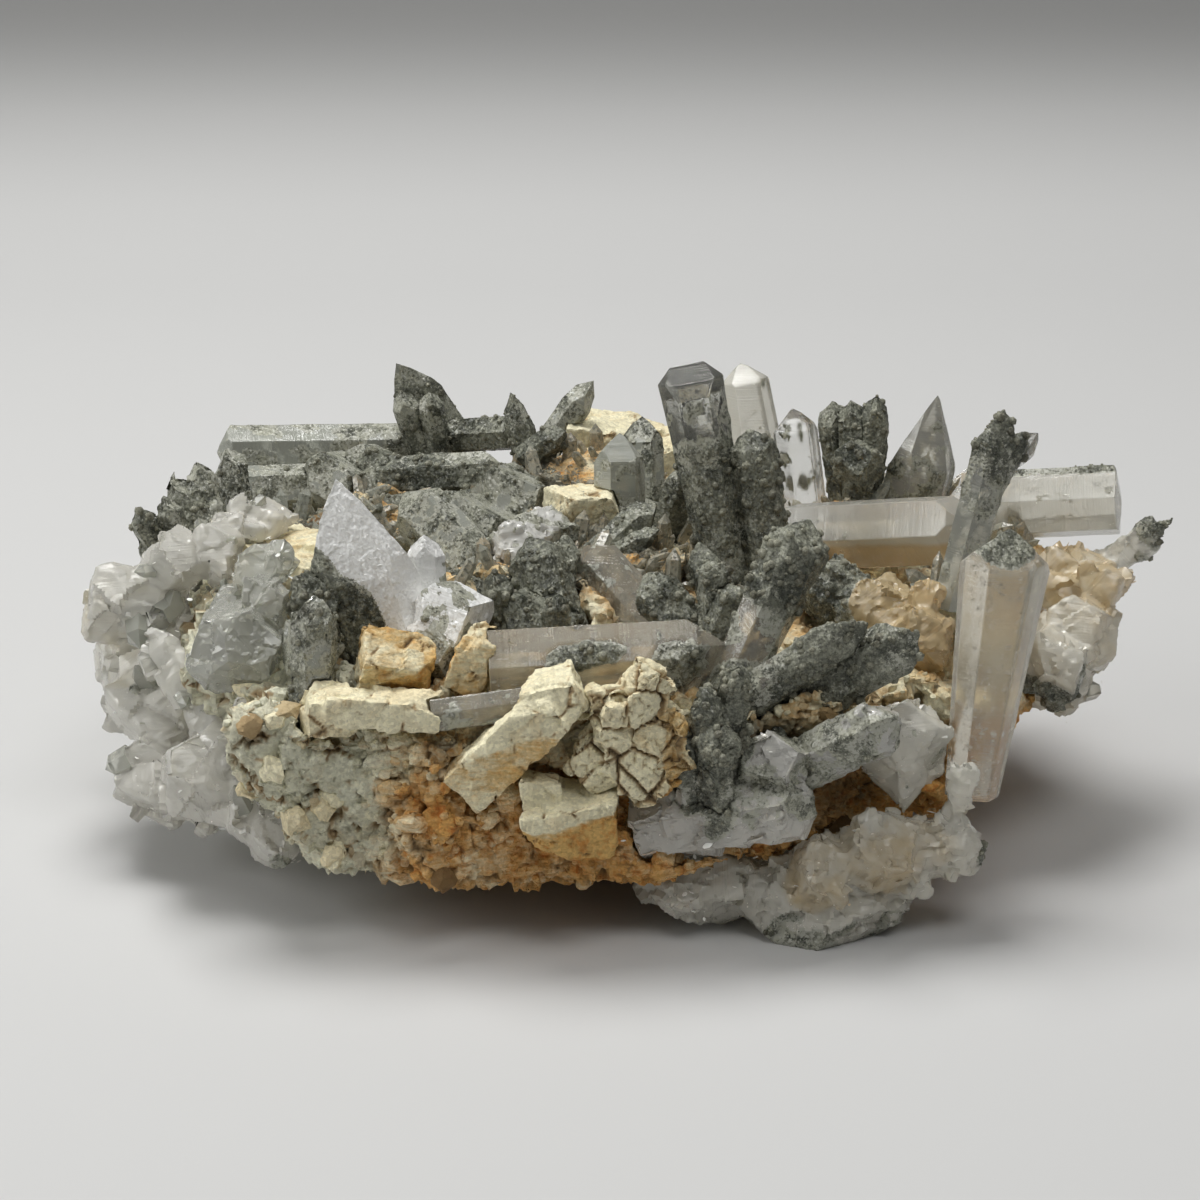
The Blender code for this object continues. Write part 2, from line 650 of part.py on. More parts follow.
def drop_fins(bm):
    """Takes out what thinning can leave: triangles standing on an edge, and pairs folded onto each other."""
    fins = [True]
    while fins:
        bmesh.ops.delete(bm, geom=[e for e in bm.edges if not e.link_faces], context="EDGES")
        same_corners = {}
        for face in bm.faces:
            same_corners.setdefault(frozenset(face.verts), []).append(face)
        fins = [face for faces in same_corners.values() if len(faces) > 1 for face in faces]
        if not fins:
            fins = [f for f in bm.faces if sum(len(e.link_faces) == 1 for e in f.edges) >= 2]
        bmesh.ops.delete(bm, geom=fins, context="FACES_ONLY")


def largest_body(mesh):
    """The mesh in triangles, without slivers, fins or the chips that sockets cut loose from it."""
    bm = bmesh.new()
    bm.from_mesh(mesh)
    drop_fins(bm)
    bmesh.ops.remove_doubles(bm, verts=bm.verts, dist=ROCK_SLIVER)
    bmesh.ops.triangulate(bm, faces=bm.faces)
    bmesh.ops.dissolve_degenerate(bm, edges=bm.edges, dist=ROCK_SLIVER)
    bmesh.ops.triangulate(bm, faces=bm.faces)
    left = set(bm.verts)
    bodies = []
    while left:
        body = {left.pop()}
        edge_of_body = list(body)
        while edge_of_body:
            vert = edge_of_body.pop()
            near = {e.other_vert(vert) for e in vert.link_edges} & left
            left -= near
            body |= near
            edge_of_body += near
        bodies.append(body)
    bodies.sort(key=len)
    for chip in bodies[:-1]:
        bmesh.ops.delete(bm, geom=list(chip), context="VERTS")
    return finished_mesh(bm)


def middle_of(member):
    if isinstance(member, Crystal):
        return (Vector(member.foot) + Vector(member.tip)) * MM / 2
    return member.base


class FreePlaces:
    """Where the rock's skin is still free, given the listed members and what has been added since."""

    def __init__(self, rock):
        bm = bmesh.new()
        bm.from_mesh(rock)
        self.skin = BVHTree.FromBMesh(bm)
        bm.free()
        self.taken = [(middle_of(m), 0.35 * m.reach) for _, members in PIECES.values() for m in members]

    def find(self, start, towards, room):
        """The first place on the skin from start that has room millimetres free round it, and its normal."""
        place, normal, _, _ = self.skin.ray_cast(start * MM, towards)
        if place is None or any((place - other).length < room * MM + size for other, size in self.taken):
            return None, None
        return place / MM, normal

    def take(self, place, size):
        self.taken.append((place * MM, size * MM))


def small_crystals(places, rng):
    """Short crystals standing on the rock's top."""
    grown = []
    while len(grown) < SMALL_CRYSTALS_ON_TOP:
        start = Vector([rng.uniform(*span) for span in SMALL_CRYSTAL_AREA] + [OUTSIDE_ROCK])
        place, normal = places.find(start, Vector((0, 0, -1)), SMALL_CRYSTAL_ACROSS[0] / 2)
        if place is None:
            continue
        across = rng.uniform(*SMALL_CRYSTAL_ACROSS)
        sideways = Vector([rng.uniform(-0.5, 0.5) for _ in range(3)])
        lean = (normal + sideways).normalized()
        foot = place - SMALL_CRYSTAL_DEPTH * lean
        tip = place + rng.uniform(*SMALL_CRYSTAL_RISE) * lean
        grown.append(Crystal(tuple(foot), tuple(tip), across, turn=rng.uniform(0, 60), seed=len(grown)))
        places.take(place, across / 2)
    return grown


def rim_lumps(places, rng):
    """Lumps of broken rock round the sides and the back."""
    grown = []
    while len(grown) < SMALL_LUMPS_ROUND_RIM:
        around = rng.uniform(*RIM_ARC)
        outward = Vector((math.cos(around), math.sin(around), 0))
        start = outward * OUTSIDE_ROCK + Vector((0, 0, rng.uniform(*RIM_HEIGHTS)))
        place, _ = places.find(start, -outward, RIM_LUMP_HALF[0])
        if place is None:
            continue
        half = tuple(rng.uniform(*RIM_LUMP_HALF) for _ in range(3))
        grown.append(Lump(tuple(place), half, seed=len(grown)))
        places.take(place, max(half))
    return grown


def small_growths(rock):
    """Small crystals and lumps on the rock, seeded, where no listed crystal stands."""
    rng = random.Random(SMALL_SEED)
    places = FreePlaces(rock)
    return small_crystals(places, rng) + rim_lumps(places, rng)


def material(name):
    colour, roughness, transmission = FINISHES[name]
    made = bpy.data.materials.new(name)
    made.use_nodes = True
    made.diffuse_color = colour
    shader = made.node_tree.nodes["Principled BSDF"]
    shader.inputs["Base Color"].default_value = colour
    shader.inputs["Roughness"].default_value = roughness
    shader.inputs["Transmission Weight"].default_value = transmission
    return made


def place_node(name, mesh, finish):
    mesh.materials.clear()
    mesh.materials.append(finish)
    node = bpy.data.objects.new(name, mesh)
    bpy.context.scene.collection.objects.link(node)
    return node


def centre_on_floor(nodes):
    """Moves every node so that the middle of the whole box is over the origin."""
    boxes = [box_of(node.data) for node in nodes]
    for axis in (0, 1):
        low = min(box[0][axis] for box in boxes)
        high = max(box[1][axis] for box in boxes)
        for node in nodes:
            for vertex in node.data.vertices:
                vertex.co[axis] -= (low + high) / 2


def main():
    for old in list(bpy.data.objects):
        bpy.data.objects.remove(old)
    finishes = {name: material(name) for name in FINISHES}
    nodes = []
    earlier = []
    for name, (finish, members) in PIECES.items():
        mesh = cut_free(joined(members), earlier, SOCKET_GAP)
        nodes.append(place_node(name, mesh, finishes[finish]))
        earlier += members
    rock = rock_body()
    for growth in small_growths(rock):
        rock = boolean(rock, convex_mesh(growth), "UNION")
    rock = thinned(cut_free(rock, earlier, ROUGH_SOCKET_GAP), ROCK_TRIANGLES)
    rock = cut_free(largest_body(rock), earlier, SOCKET_GAP)
    rock = largest_body(boolean(rock, ground(), "DIFFERENCE"))
    nodes.append(place_node("rock", rock, finishes["host_rock"]))
    centre_on_floor(nodes)


main()
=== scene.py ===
"""Looks of a chlorite quartz cluster on feldspar rock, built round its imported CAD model.

Sizes are in millimetres until a mesh is written. Places are those of the solids before the model was centred.
"""

import logging
import math
from collections.abc import Callable, Sequence
from dataclasses import dataclass, fields
from enum import Enum

import bmesh
import bpy
import numpy as np
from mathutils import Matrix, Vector


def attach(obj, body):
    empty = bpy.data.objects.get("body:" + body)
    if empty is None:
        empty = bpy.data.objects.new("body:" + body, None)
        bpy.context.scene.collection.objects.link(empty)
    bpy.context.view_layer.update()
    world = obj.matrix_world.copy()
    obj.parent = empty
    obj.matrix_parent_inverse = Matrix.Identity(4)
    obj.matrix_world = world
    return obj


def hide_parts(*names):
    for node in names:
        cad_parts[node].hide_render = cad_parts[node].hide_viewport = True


Point = tuple[float, float, float]
Pair = tuple[float, float]
Colour = tuple[float, float, float]
Value = float | bpy.types.NodeSocket

MM = 0.001
TO_MM = 1000.0
CENTRING = np.array((-1.25, -4.59, 0.0))
WORN = ("coat", "milk", "stain", "inside")
LOG = logging.getLogger("cluster")

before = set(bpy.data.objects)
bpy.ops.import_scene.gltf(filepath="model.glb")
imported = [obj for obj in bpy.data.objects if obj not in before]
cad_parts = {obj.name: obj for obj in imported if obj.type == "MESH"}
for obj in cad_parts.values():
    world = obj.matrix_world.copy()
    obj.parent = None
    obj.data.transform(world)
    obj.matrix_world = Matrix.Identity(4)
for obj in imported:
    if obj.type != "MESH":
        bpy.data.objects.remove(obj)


class Slot(Enum):
    """The record's material slots."""

    ROCK = "host_rock"
    FELDSPAR = "feldspar"
    MILKY = "milky_quartz"
    CLEAR = "clear_quartz"
    COATED = "chlorite_quartz"


class Skin(Enum):
    """How the faces of a solid are divided before they are weathered."""

    FACETS = "crystal faces stay flat and their edges are slightly worn"
    ROUGH = "small even faces all over, for broken or grainy surfaces"


class Wiring:
    """Adds nodes to a tree and joins them, for geometry and for materials alike."""

    def __init__(self, tree: bpy.types.NodeTree) -> None:
        """Keeps the tree that is being built."""
        self.tree = tree

    def add(self, kind: str, inputs: dict | None = None, **settings: object) -> bpy.types.Node:
        """Adds one node.

        Args:
            kind: Blender's name for the type of node.
            inputs: socket name or index to a value, or to the socket or node that feeds it.
            settings: the node's own properties.

        Returns:
            The new node.
        """
        node = self.tree.nodes.new(kind)
        for name, value in settings.items():
            setattr(node, name, value)
        for key, value in (inputs or {}).items():
            if isinstance(value, bpy.types.Node):
                value = value.outputs[0]
            if isinstance(value, bpy.types.NodeSocket):
                self.tree.links.new(value, node.inputs[key])
            else:
                node.inputs[key].default_value = value
        return node

    def math(self, operation: str, first: Value, second: Value = 0.0, clamp: bool = False) -> bpy.types.NodeSocket:
        """Returns the result of one sum on two numbers."""
        return self.add("ShaderNodeMath", {0: first, 1: second}, operation=operation, use_clamp=clamp).outputs[0]

    def line(self, value: Value, factor: Value, plus: Value) -> bpy.types.NodeSocket:
        """Returns a number times a factor, plus another."""
        return self.add("ShaderNodeMath", {0: value, 1: factor, 2: plus}, operation="MULTIPLY_ADD").outputs[0]

    def vector(self, operation: str, first: object, second: object = (0.0, 0.0, 0.0)) -> bpy.types.NodeSocket:
        """Returns the result of one sum on two vectors."""
        node = self.add("ShaderNodeVectorMath", {0: first, 1: second}, operation=operation)
        return node.outputs[1 if operation == "DOT_PRODUCT" else 0]

    def times(self, vector: object, factor: Value) -> bpy.types.NodeSocket:
        """Returns a vector times a number."""
        return self.add("ShaderNodeVectorMath", {0: vector, "Scale": factor}, operation="SCALE").outputs[0]

    def blend(self, share: Value, first: Value, second: Value) -> bpy.types.NodeSocket:
        """Returns the number that lies that share of the way from the first to the second."""
        return self.add("ShaderNodeMix", {0: share, 2: first, 3: second}, data_type="FLOAT").outputs[0]

    def colour(self, share: Value, first: object, second: object, how: str = "MIX") -> bpy.types.NodeSocket:
        """Returns the mix of two colours."""
        inputs = {0: share, 6: opaque(first), 7: opaque(second)}
        return self.add("ShaderNodeMix", inputs, data_type="RGBA", blend_type=how).outputs[2]

    def step(self, value: Value, low: float, high: float) -> bpy.types.NodeSocket:
        """Returns 0 below low, 1 above high and a smooth rise between them."""
        inputs = {0: value, 1: low, 2: high}
        return self.add("ShaderNodeMapRange", inputs, interpolation_type="SMOOTHSTEP").outputs[0]

    def noise(self, place: object, size: Value, detail: float = 3.0, rough: float = 0.55) -> bpy.types.NodeSocket:
        """Returns noise from 0 to 1 whose features are about size wide."""
        inputs = {"Vector": place, "Scale": self.math("DIVIDE", 1.0, size), "Detail": detail, "Roughness": rough}
        return self.add("ShaderNodeTexNoise", inputs).outputs[0]

    def swing(self, place: object, size: Value, detail: float = 3.0, rough: float = 0.55) -> bpy.types.NodeSocket:
        """Returns the same noise from about -1 to 1."""
        return self.line(self.noise(place, size, detail, rough), 2.0, -1.0)

    def cells(self, place: object, size: Value, feature: str = "F1", distance: str = "EUCLIDEAN") -> bpy.types.Node:
        """Returns a Voronoi node whose cells are about size wide."""
        inputs = {"Vector": place, "Scale": self.math("DIVIDE", 1.0, size)}
        return self.add("ShaderNodeTexVoronoi", inputs, feature=feature, distance=distance)

    def tilt(self, place: object, cell: bpy.types.Node, size: Value) -> bpy.types.NodeSocket:
        """Returns the height of a flat tilted plane on each Voronoi cell, from about -1 to 1."""
        lean = self.vector("SUBTRACT", cell.outputs["Color"], (0.5, 0.5, 0.5))
        away = self.vector("SUBTRACT", place, cell.outputs["Position"])
        slope = self.math("DIVIDE", self.vector("DOT_PRODUCT", lean, away), size)
        return self.line(slope, 2.6, self.line(self.share(cell), 0.7, -0.35))

    def share(self, cell: bpy.types.Node) -> bpy.types.NodeSocket:
        """Returns a random number from 0 to 1 for each Voronoi cell."""
        return self.add("ShaderNodeSeparateXYZ", {0: cell.outputs["Color"]}).outputs[0]

    def bent(self, place: object, size: float, amount: Value) -> bpy.types.NodeSocket:
        """Returns a place pushed about by noise, so that a pattern read there runs in curves."""
        inputs = {"Vector": place, "Scale": 1.0 / size, "Detail": 4.0, "Roughness": 0.62}
        push = self.vector("SUBTRACT", self.add("ShaderNodeTexNoise", inputs).outputs[1], (0.5, 0.5, 0.5))
        return self.vector("ADD", place, self.times(push, amount))


def opaque(colour: object) -> object:
    """Returns a plain colour with its fourth number, and a socket as it is."""
    return (*colour, 1.0) if isinstance(colour, tuple) else colour


@dataclass(frozen=True)
class Weather:
    """How a skin is worn. Each size is the width of a feature and each depth its height, in millimetres."""

    patch: float = 4.0
    grain: float = 1.0
    coat_depth: float = 0.4
    lump: float = 7.0
    lump_depth: float = 0.0
    facet: float = 4.0
    facet_depth: float = 0.0
    chip_share: float = 0.4
    bend: float = 0.0
    pillow_depth: float = 0.0
    crack_depth: float = 0.0
    crack_share: float = 0.5
    layer_depth: float = 0.0
    pit_depth: float = 0.0
    fine: float = 0.7
    fine_depth: float = 0.0
    seed: float = 1.0

    def inputs(self) -> dict[str, float]:
        """Returns each size under the name of its input in the weathering tree."""
        return {socket_name(item.name): getattr(self, item.name) for item in fields(self)}


def socket_name(name: str) -> str:
    """Returns the name of the tree input for a field."""
    return name.replace("_", " ").title()


class GeometryTree(Wiring):
    """A Geometry Nodes tree with named inputs, under construction."""

    def __init__(self, name: str, inputs: dict[str, tuple[str, object]]) -> None:
        """Starts a tree.

        Args:
            name: the tree's name.
            inputs: input name to its socket type and its usual value.
        """
        super().__init__(bpy.data.node_groups.new(name, "GeometryNodeTree"))
        face = self.tree.interface
        face.new_socket("Geometry", in_out="INPUT", socket_type="NodeSocketGeometry")
        for label, (kind, value) in inputs.items():
            socket = face.new_socket(label, in_out="INPUT", socket_type=kind)
            if value is not None:
                socket.default_value = value
        face.new_socket("Geometry", in_out="OUTPUT", socket_type="NodeSocketGeometry")
        self.given = self.tree.nodes.new("NodeGroupInput").outputs

    def reading(self, name: str) -> bpy.types.NodeSocket:
        """Returns the named attribute of the geometry."""
        return self.add("GeometryNodeInputNamedAttribute", {"Name": name}, data_type="FLOAT").outputs[0]

    def store(self, geometry: object, name: str, value: Value, domain: str = "POINT") -> bpy.types.NodeSocket:
        """Returns the geometry with a value written to a named attribute."""
        inputs = {"Geometry": geometry, "Name": name, "Value": value}
        return self.add("GeometryNodeStoreNamedAttribute", inputs, data_type="FLOAT", domain=domain).outputs[0]

    def end(self, geometry: object) -> bpy.types.NodeTree:
        """Joins the geometry to the tree's output and returns the tree."""
        self.add("NodeGroupOutput", {0: geometry})
        return self.tree


def weathering() -> bpy.types.NodeTree:
    """Returns the tree that settles where the coat lies and pushes a skin's points in and out."""
    usual = {socket_name(item.name): ("NodeSocketFloat", item.default) for item in fields(Weather)}
    tree = GeometryTree("Weathering", usual)
    given = tree.given
    position = tree.add("GeometryNodeInputPosition").outputs[0]
    offset = tree.times((31.7, 17.1, -11.3), given["Seed"])
    place = tree.vector("ADD", tree.times(position, TO_MM), offset)

    patches = tree.swing(place, given["Patch"], 4.0, 0.6)
    coat = tree.line(patches, 0.85, tree.reading("coat"))
    coat = tree.math("MAXIMUM", tree.math("MINIMUM", coat, 1.0), 0.0)
    thick = tree.step(coat, 0.5, 0.95)

    distance = tree.cells(place, given["Grain"]).outputs["Distance"]
    dome = tree.math("SUBTRACT", 1.0, tree.math("POWER", tree.math("MULTIPLY", distance, 1.15), 2.0), clamp=True)
    crust = tree.line(tree.swing(place, 2.2, 3.0), 0.8, tree.line(dome, 0.7, 0.25))
    height = tree.math("MULTIPLY", tree.math("MULTIPLY", crust, thick), given["Coat Depth"])

    lump = tree.math("MULTIPLY", tree.swing(place, given["Lump"], 2.0), given["Lump Depth"])
    height = tree.math("ADD", height, lump)

    bent = tree.bent(place, 3.5, given["Bend"])
    part = tree.math("MULTIPLY", given["Facet"], 0.4)
    block, chip = tree.cells(bent, given["Facet"]), tree.cells(bent, part)
    facet = tree.line(tree.tilt(bent, chip, part), given["Chip Share"], tree.tilt(bent, block, given["Facet"]))
    height = tree.line(facet, given["Facet Depth"], height)
    pillow = tree.line(block.outputs["Distance"], -2.0, 0.8)
    height = tree.line(pillow, given["Pillow Depth"], height)
    tone = tree.line(tree.share(block), 0.6, tree.math("MULTIPLY", tree.share(chip), 0.4))

    spread = tree.line(given["Crack Share"], -0.5, 0.75)
    edge = tree.cells(bent, given["Facet"], "DISTANCE_TO_EDGE").outputs["Distance"]
    wide = tree.math("SUBTRACT", 1.0, tree.step(edge, 0.0, 0.075))
    patch = tree.math("SUBTRACT", tree.noise(place, 5.0, 3.0), spread)
    wide = tree.math("MULTIPLY", wide, tree.step(patch, -0.08, 0.08))
    edge = tree.cells(bent, part, "DISTANCE_TO_EDGE").outputs["Distance"]
    narrow = tree.math("SUBTRACT", 0.5, tree.step(edge, 0.0, 0.09), clamp=True)
    patch = tree.math("SUBTRACT", tree.noise(place, 3.3, 3.0), spread)
    narrow = tree.math("MULTIPLY", narrow, tree.step(patch, -0.02, 0.14))
    pit = tree.step(tree.noise(place, 4.2, 3.0, 0.6), 0.54, 0.7)
    height = tree.line(pit, tree.math("MULTIPLY", given["Pit Depth"], -1.0), height)
    pit = tree.math("MULTIPLY", pit, tree.math("MINIMUM", given["Pit Depth"], 1.0))
    hollow = tree.math("MAXIMUM", tree.math("MAXIMUM", wide, narrow), tree.math("MULTIPLY", pit, 0.85))
    height = tree.line(tree.math("MAXIMUM", wide, narrow), tree.math("MULTIPLY", given["Crack Depth"], -1.0), height)

    flat = tree.vector("MULTIPLY", place, (0.3, 0.3, 1.1))
    height = tree.line(tree.swing(flat, 1.6, 3.0, 0.6), given["Layer Depth"], height)
    height = tree.line(tree.swing(place, given["Fine"], 3.0, 0.65), given["Fine Depth"], height)

    level = tree.math("MULTIPLY", tree.add("ShaderNodeSeparateXYZ", {0: position}).outputs[2], TO_MM)
    height = tree.math("MULTIPLY", height, tree.step(level, 0.2, 2.5))
    normal = tree.add("GeometryNodeInputNormal").outputs[0]
    move = tree.times(normal, tree.math("MULTIPLY", height, MM))

    geometry = tree.store(given["Geometry"], "coat", coat)
    geometry = tree.store(geometry, "hollow", hollow)
    geometry = tree.store(geometry, "dome", dome)
    geometry = tree.store(geometry, "tone", tone)
    return tree.end(tree.add("GeometryNodeSetPosition", {"Geometry": geometry, "Offset": move}))


def scatter(
    name: str, mask: str, shape: Callable[[GeometryTree], object], upright: bool, coat: float | None = None,
    uneven: float = 0.0,
) -> bpy.types.NodeTree:
    """Builds the tree that strews one small shape over a skin.

    Args:
        name: the tree's name.
        mask: the attribute of the skin that says how thickly the shape lies.
        shape: adds the shape's nodes to the tree and returns its geometry.
        upright: whether the shapes stand up from the skin or lie at random.
        coat: how thickly chlorite covers the shapes, or None to leave it as on the skin.
        uneven: how much longer or shorter a shape may be along each of its axes.

    Returns:
        The tree, whose output is the strewn shapes alone.
    """
    inputs = {
        "Per Square Millimetre": ("NodeSocketFloat", 0.3),
        "Smallest": ("NodeSocketFloat", 0.3),
        "Largest": ("NodeSocketFloat", 0.8),
        "Tilt": ("NodeSocketFloat", 0.6),
        "Sunk": ("NodeSocketFloat", 0.0),
        "Seed": ("NodeSocketInt", 1),
        "Material": ("NodeSocketMaterial", None),
    }
    tree = GeometryTree(name, inputs)
    given = tree.given
    share = tree.step(tree.reading(mask), 0.45, 1.0)
    density = tree.math("MULTIPLY", tree.math("MULTIPLY", share, given["Per Square Millimetre"]), 1e6)
    spread = {"Mesh": given["Geometry"], "Density": density, "Seed": given["Seed"]}
    points = tree.add("GeometryNodeDistributePointsOnFaces", spread, distribute_method="RANDOM")
    chance = tree.add("FunctionNodeRandomValue", {2: 0.0, 3: 1.0, "Seed": 5}, data_type="FLOAT").outputs[1]
    share = tree.math("POWER", chance, 2.5)
    size = tree.math("MULTIPLY", tree.blend(share, given["Smallest"], given["Largest"]), MM)
    lean = tree.math("MULTIPLY", given["Tilt"], -1.0)
    low = tree.add("ShaderNodeCombineXYZ", {0: lean, 1: lean, 2: -3.14}).outputs[0]
    high = tree.add("ShaderNodeCombineXYZ", {0: given["Tilt"], 1: given["Tilt"], 2: 3.14}).outputs[0]
    turn = tree.add("FunctionNodeRandomValue", {0: low, 1: high, "Seed": 9}, data_type="FLOAT_VECTOR").outputs[0]
    if upright:
        turn = tree.add("FunctionNodeRotateRotation", {0: points.outputs["Rotation"], 1: turn}, rotation_space="LOCAL")
    low, high = (tree.times((1.0, 1.0, 1.0), 1.0 + side * uneven) for side in (-1, 1))
    stretch = tree.add("FunctionNodeRandomValue", {0: low, 1: high, "Seed": 21}, data_type="FLOAT_VECTOR").outputs[0]
    depth = tree.add("FunctionNodeRandomValue", {2: 0.25, 3: 1.0, "Seed": 25}, data_type="FLOAT").outputs[1]
    depth = tree.math("MULTIPLY", tree.math("MULTIPLY", depth, given["Sunk"]), -MM)
    sunk = {"Geometry": points.outputs["Points"], "Offset": tree.times(points.outputs["Normal"], depth)}
    sunk = tree.add("GeometryNodeSetPosition", sunk)
    scale = tree.times(stretch, size)
    placed = {"Points": sunk, "Instance": shape(tree), "Rotation": turn, "Scale": scale}
    strewn = tree.add("GeometryNodeInstanceOnPoints", placed).outputs[0]
    tone = tree.add("FunctionNodeRandomValue", {2: 0.0, 3: 1.0, "Seed": 13}, data_type="FLOAT").outputs[1]
    strewn = tree.store(strewn, "tone", tone, "INSTANCE")
    real = tree.add("GeometryNodeRealizeInstances", {0: strewn})
    if coat is not None:
        real = tree.store(real, "coat", coat)
    return tree.end(tree.add("GeometryNodeSetMaterial", {"Geometry": real, "Material": given["Material"]}))


def bead(tree: GeometryTree) -> object:
    """Returns a rounded grain one unit in radius."""
    ball = tree.add("GeometryNodeMeshIcoSphere", {"Radius": 1.0, "Subdivisions": 1}).outputs[0]
    return tree.add("GeometryNodeSetShadeSmooth", {0: ball}).outputs[0]


def crumb(tree: GeometryTree) -> object:
    """Returns a small broken chip about one unit in radius."""
    ball = tree.add("GeometryNodeMeshIcoSphere", {"Radius": 1.0, "Subdivisions": 1}).outputs[0]
    return shaken(tree, ball, 1.1, 1.3)


def chunk(tree: GeometryTree) -> object:
    """Returns a broken block about one unit in radius, with worn corners."""
    ball = tree.add("GeometryNodeMeshIcoSphere", {"Radius": 1.0, "Subdivisions": 2}).outputs[0]
    block = tree.add("GeometryNodeTransform", {"Geometry": ball, "Scale": (1.2, 0.95, 0.75)}).outputs[0]
    return shaken(tree, block, 0.9, 1.5)


def shaken(tree: GeometryTree, shape: object, scale: float, amount: float) -> object:
    """Returns a shape with its points pushed about, and flat faces."""
    position = tree.add("GeometryNodeInputPosition").outputs[0]
    shake = tree.add("ShaderNodeTexNoise", {"Vector": position, "Scale": scale, "Detail": 2.0}).outputs[1]
    move = tree.times(tree.vector("SUBTRACT", shake, (0.5, 0.5, 0.5)), amount)
    broken = tree.add("GeometryNodeSetPosition", {"Geometry": shape, "Offset": move})
    return tree.add("GeometryNodeSetShadeSmooth", {0: broken, 2: False}).outputs[0]


def flake(tree: GeometryTree) -> object:
    """Returns a thin grain of chlorite about one unit in radius."""
    ball = tree.add("GeometryNodeMeshIcoSphere", {"Radius": 1.0, "Subdivisions": 1}).outputs[0]
    flat = {"Geometry": ball, "Scale": (1.0, 0.8, 0.35)}
    return tree.add("GeometryNodeTransform", flat).outputs[0]


def wisp(tree: GeometryTree) -> object:
    """Returns a very thin flake about one unit in radius, as a healed crack inside quartz looks."""
    ball = tree.add("GeometryNodeMeshIcoSphere", {"Radius": 1.0, "Subdivisions": 1}).outputs[0]
    flat = {"Geometry": ball, "Scale": (1.0, 0.7, 0.12)}
    return tree.add("GeometryNodeTransform", flat).outputs[0]


def stub(tree: GeometryTree) -> object:
    """Returns a short six-sided crystal, half sunk in what carries it."""
    return crystal(tree, 1.6, 0.75, -0.5)


def point(tree: GeometryTree) -> object:
    """Returns a slender six-sided crystal four units long, standing in what carries it."""
    return crystal(tree, 3.2, 0.9, -0.7)


def crystal(tree: GeometryTree, shaft: float, head: float, foot: float) -> object:
    """Adds a six-sided crystal with a pyramid at its tip.

    Args:
        tree: the tree that is being built.
        shaft: how long its prism is.
        head: how high its pyramid is.
        foot: where the middle of the prism stands.

    Returns:
        The crystal's geometry.
    """
    sides = {"Vertices": 6, "Radius Bottom": 0.85, "Radius Top": 0.7, "Depth": shaft}
    prism = tree.add("GeometryNodeMeshCone", sides, fill_type="NONE").outputs[0]
    lower = tree.add("GeometryNodeTransform", {"Geometry": prism, "Translation": (0.0, 0.0, foot)})
    tip = {"Vertices": 6, "Radius Bottom": 0.7, "Radius Top": 0.0, "Depth": head}
    cap = tree.add("GeometryNodeMeshCone", tip, fill_type="NONE").outputs[0]
    upper = tree.add("GeometryNodeTransform", {"Geometry": cap, "Translation": (0.0, 0.0, foot + shaft)})
    both = tree.add("GeometryNodeJoinGeometry", {0: lower})
    tree.tree.links.new(upper.outputs[0], both.inputs[0])
    whole = tree.add("GeometryNodeMergeByDistance", {"Geometry": both, "Distance": 0.01})
    return tree.add("GeometryNodeSetShadeSmooth", {0: whole, 2: False}).outputs[0]


class MaterialTree(Wiring):
    """A material's tree, with the readings that every finish here starts from."""

    def __init__(self, name: str) -> None:
        """Starts a material."""
        self.material = bpy.data.materials.new(name)
        self.material.use_nodes = True
        super().__init__(self.material.node_tree)
        self.tree.nodes.clear()
        self.place = self.times(self.add("ShaderNodeTexCoord").outputs["Object"], TO_MM)
        self.normal = self.add("ShaderNodeNewGeometry").outputs["Normal"]

    def reading(self, name: str) -> bpy.types.NodeSocket:
        """Returns the named attribute of the surface."""
        return self.add("ShaderNodeAttribute", attribute_name=name).outputs["Fac"]

    def tilted(self, size: float, amount: Value) -> bpy.types.NodeSocket:
        """Returns the normal, tilted at random on each small cell, as on a surface of tiny crystals."""
        lean = self.vector("SUBTRACT", self.cells(self.place, size).outputs["Color"], (0.5, 0.5, 0.5))
        return self.vector("NORMALIZE", self.vector("ADD", self.normal, self.times(lean, amount)))

    def bump(self, height: Value, depth: float, normal: object) -> bpy.types.NodeSocket:
        """Returns the normal over relief that is depth millimetres high."""
        inputs = {"Height": height, "Distance": depth * MM, "Normal": normal}
        return self.add("ShaderNodeBump", inputs).outputs[0]

    def finish(self, inputs: dict, volume: object = None) -> bpy.types.Material:
        """Joins a Principled shader to the output and returns the material."""
        shader = self.add("ShaderNodeBsdfPrincipled", inputs)
        out = self.add("ShaderNodeOutputMaterial", {"Surface": shader})
        if volume is not None:
            self.tree.links.new(volume.outputs[0], out.inputs["Volume"])
        return self.material


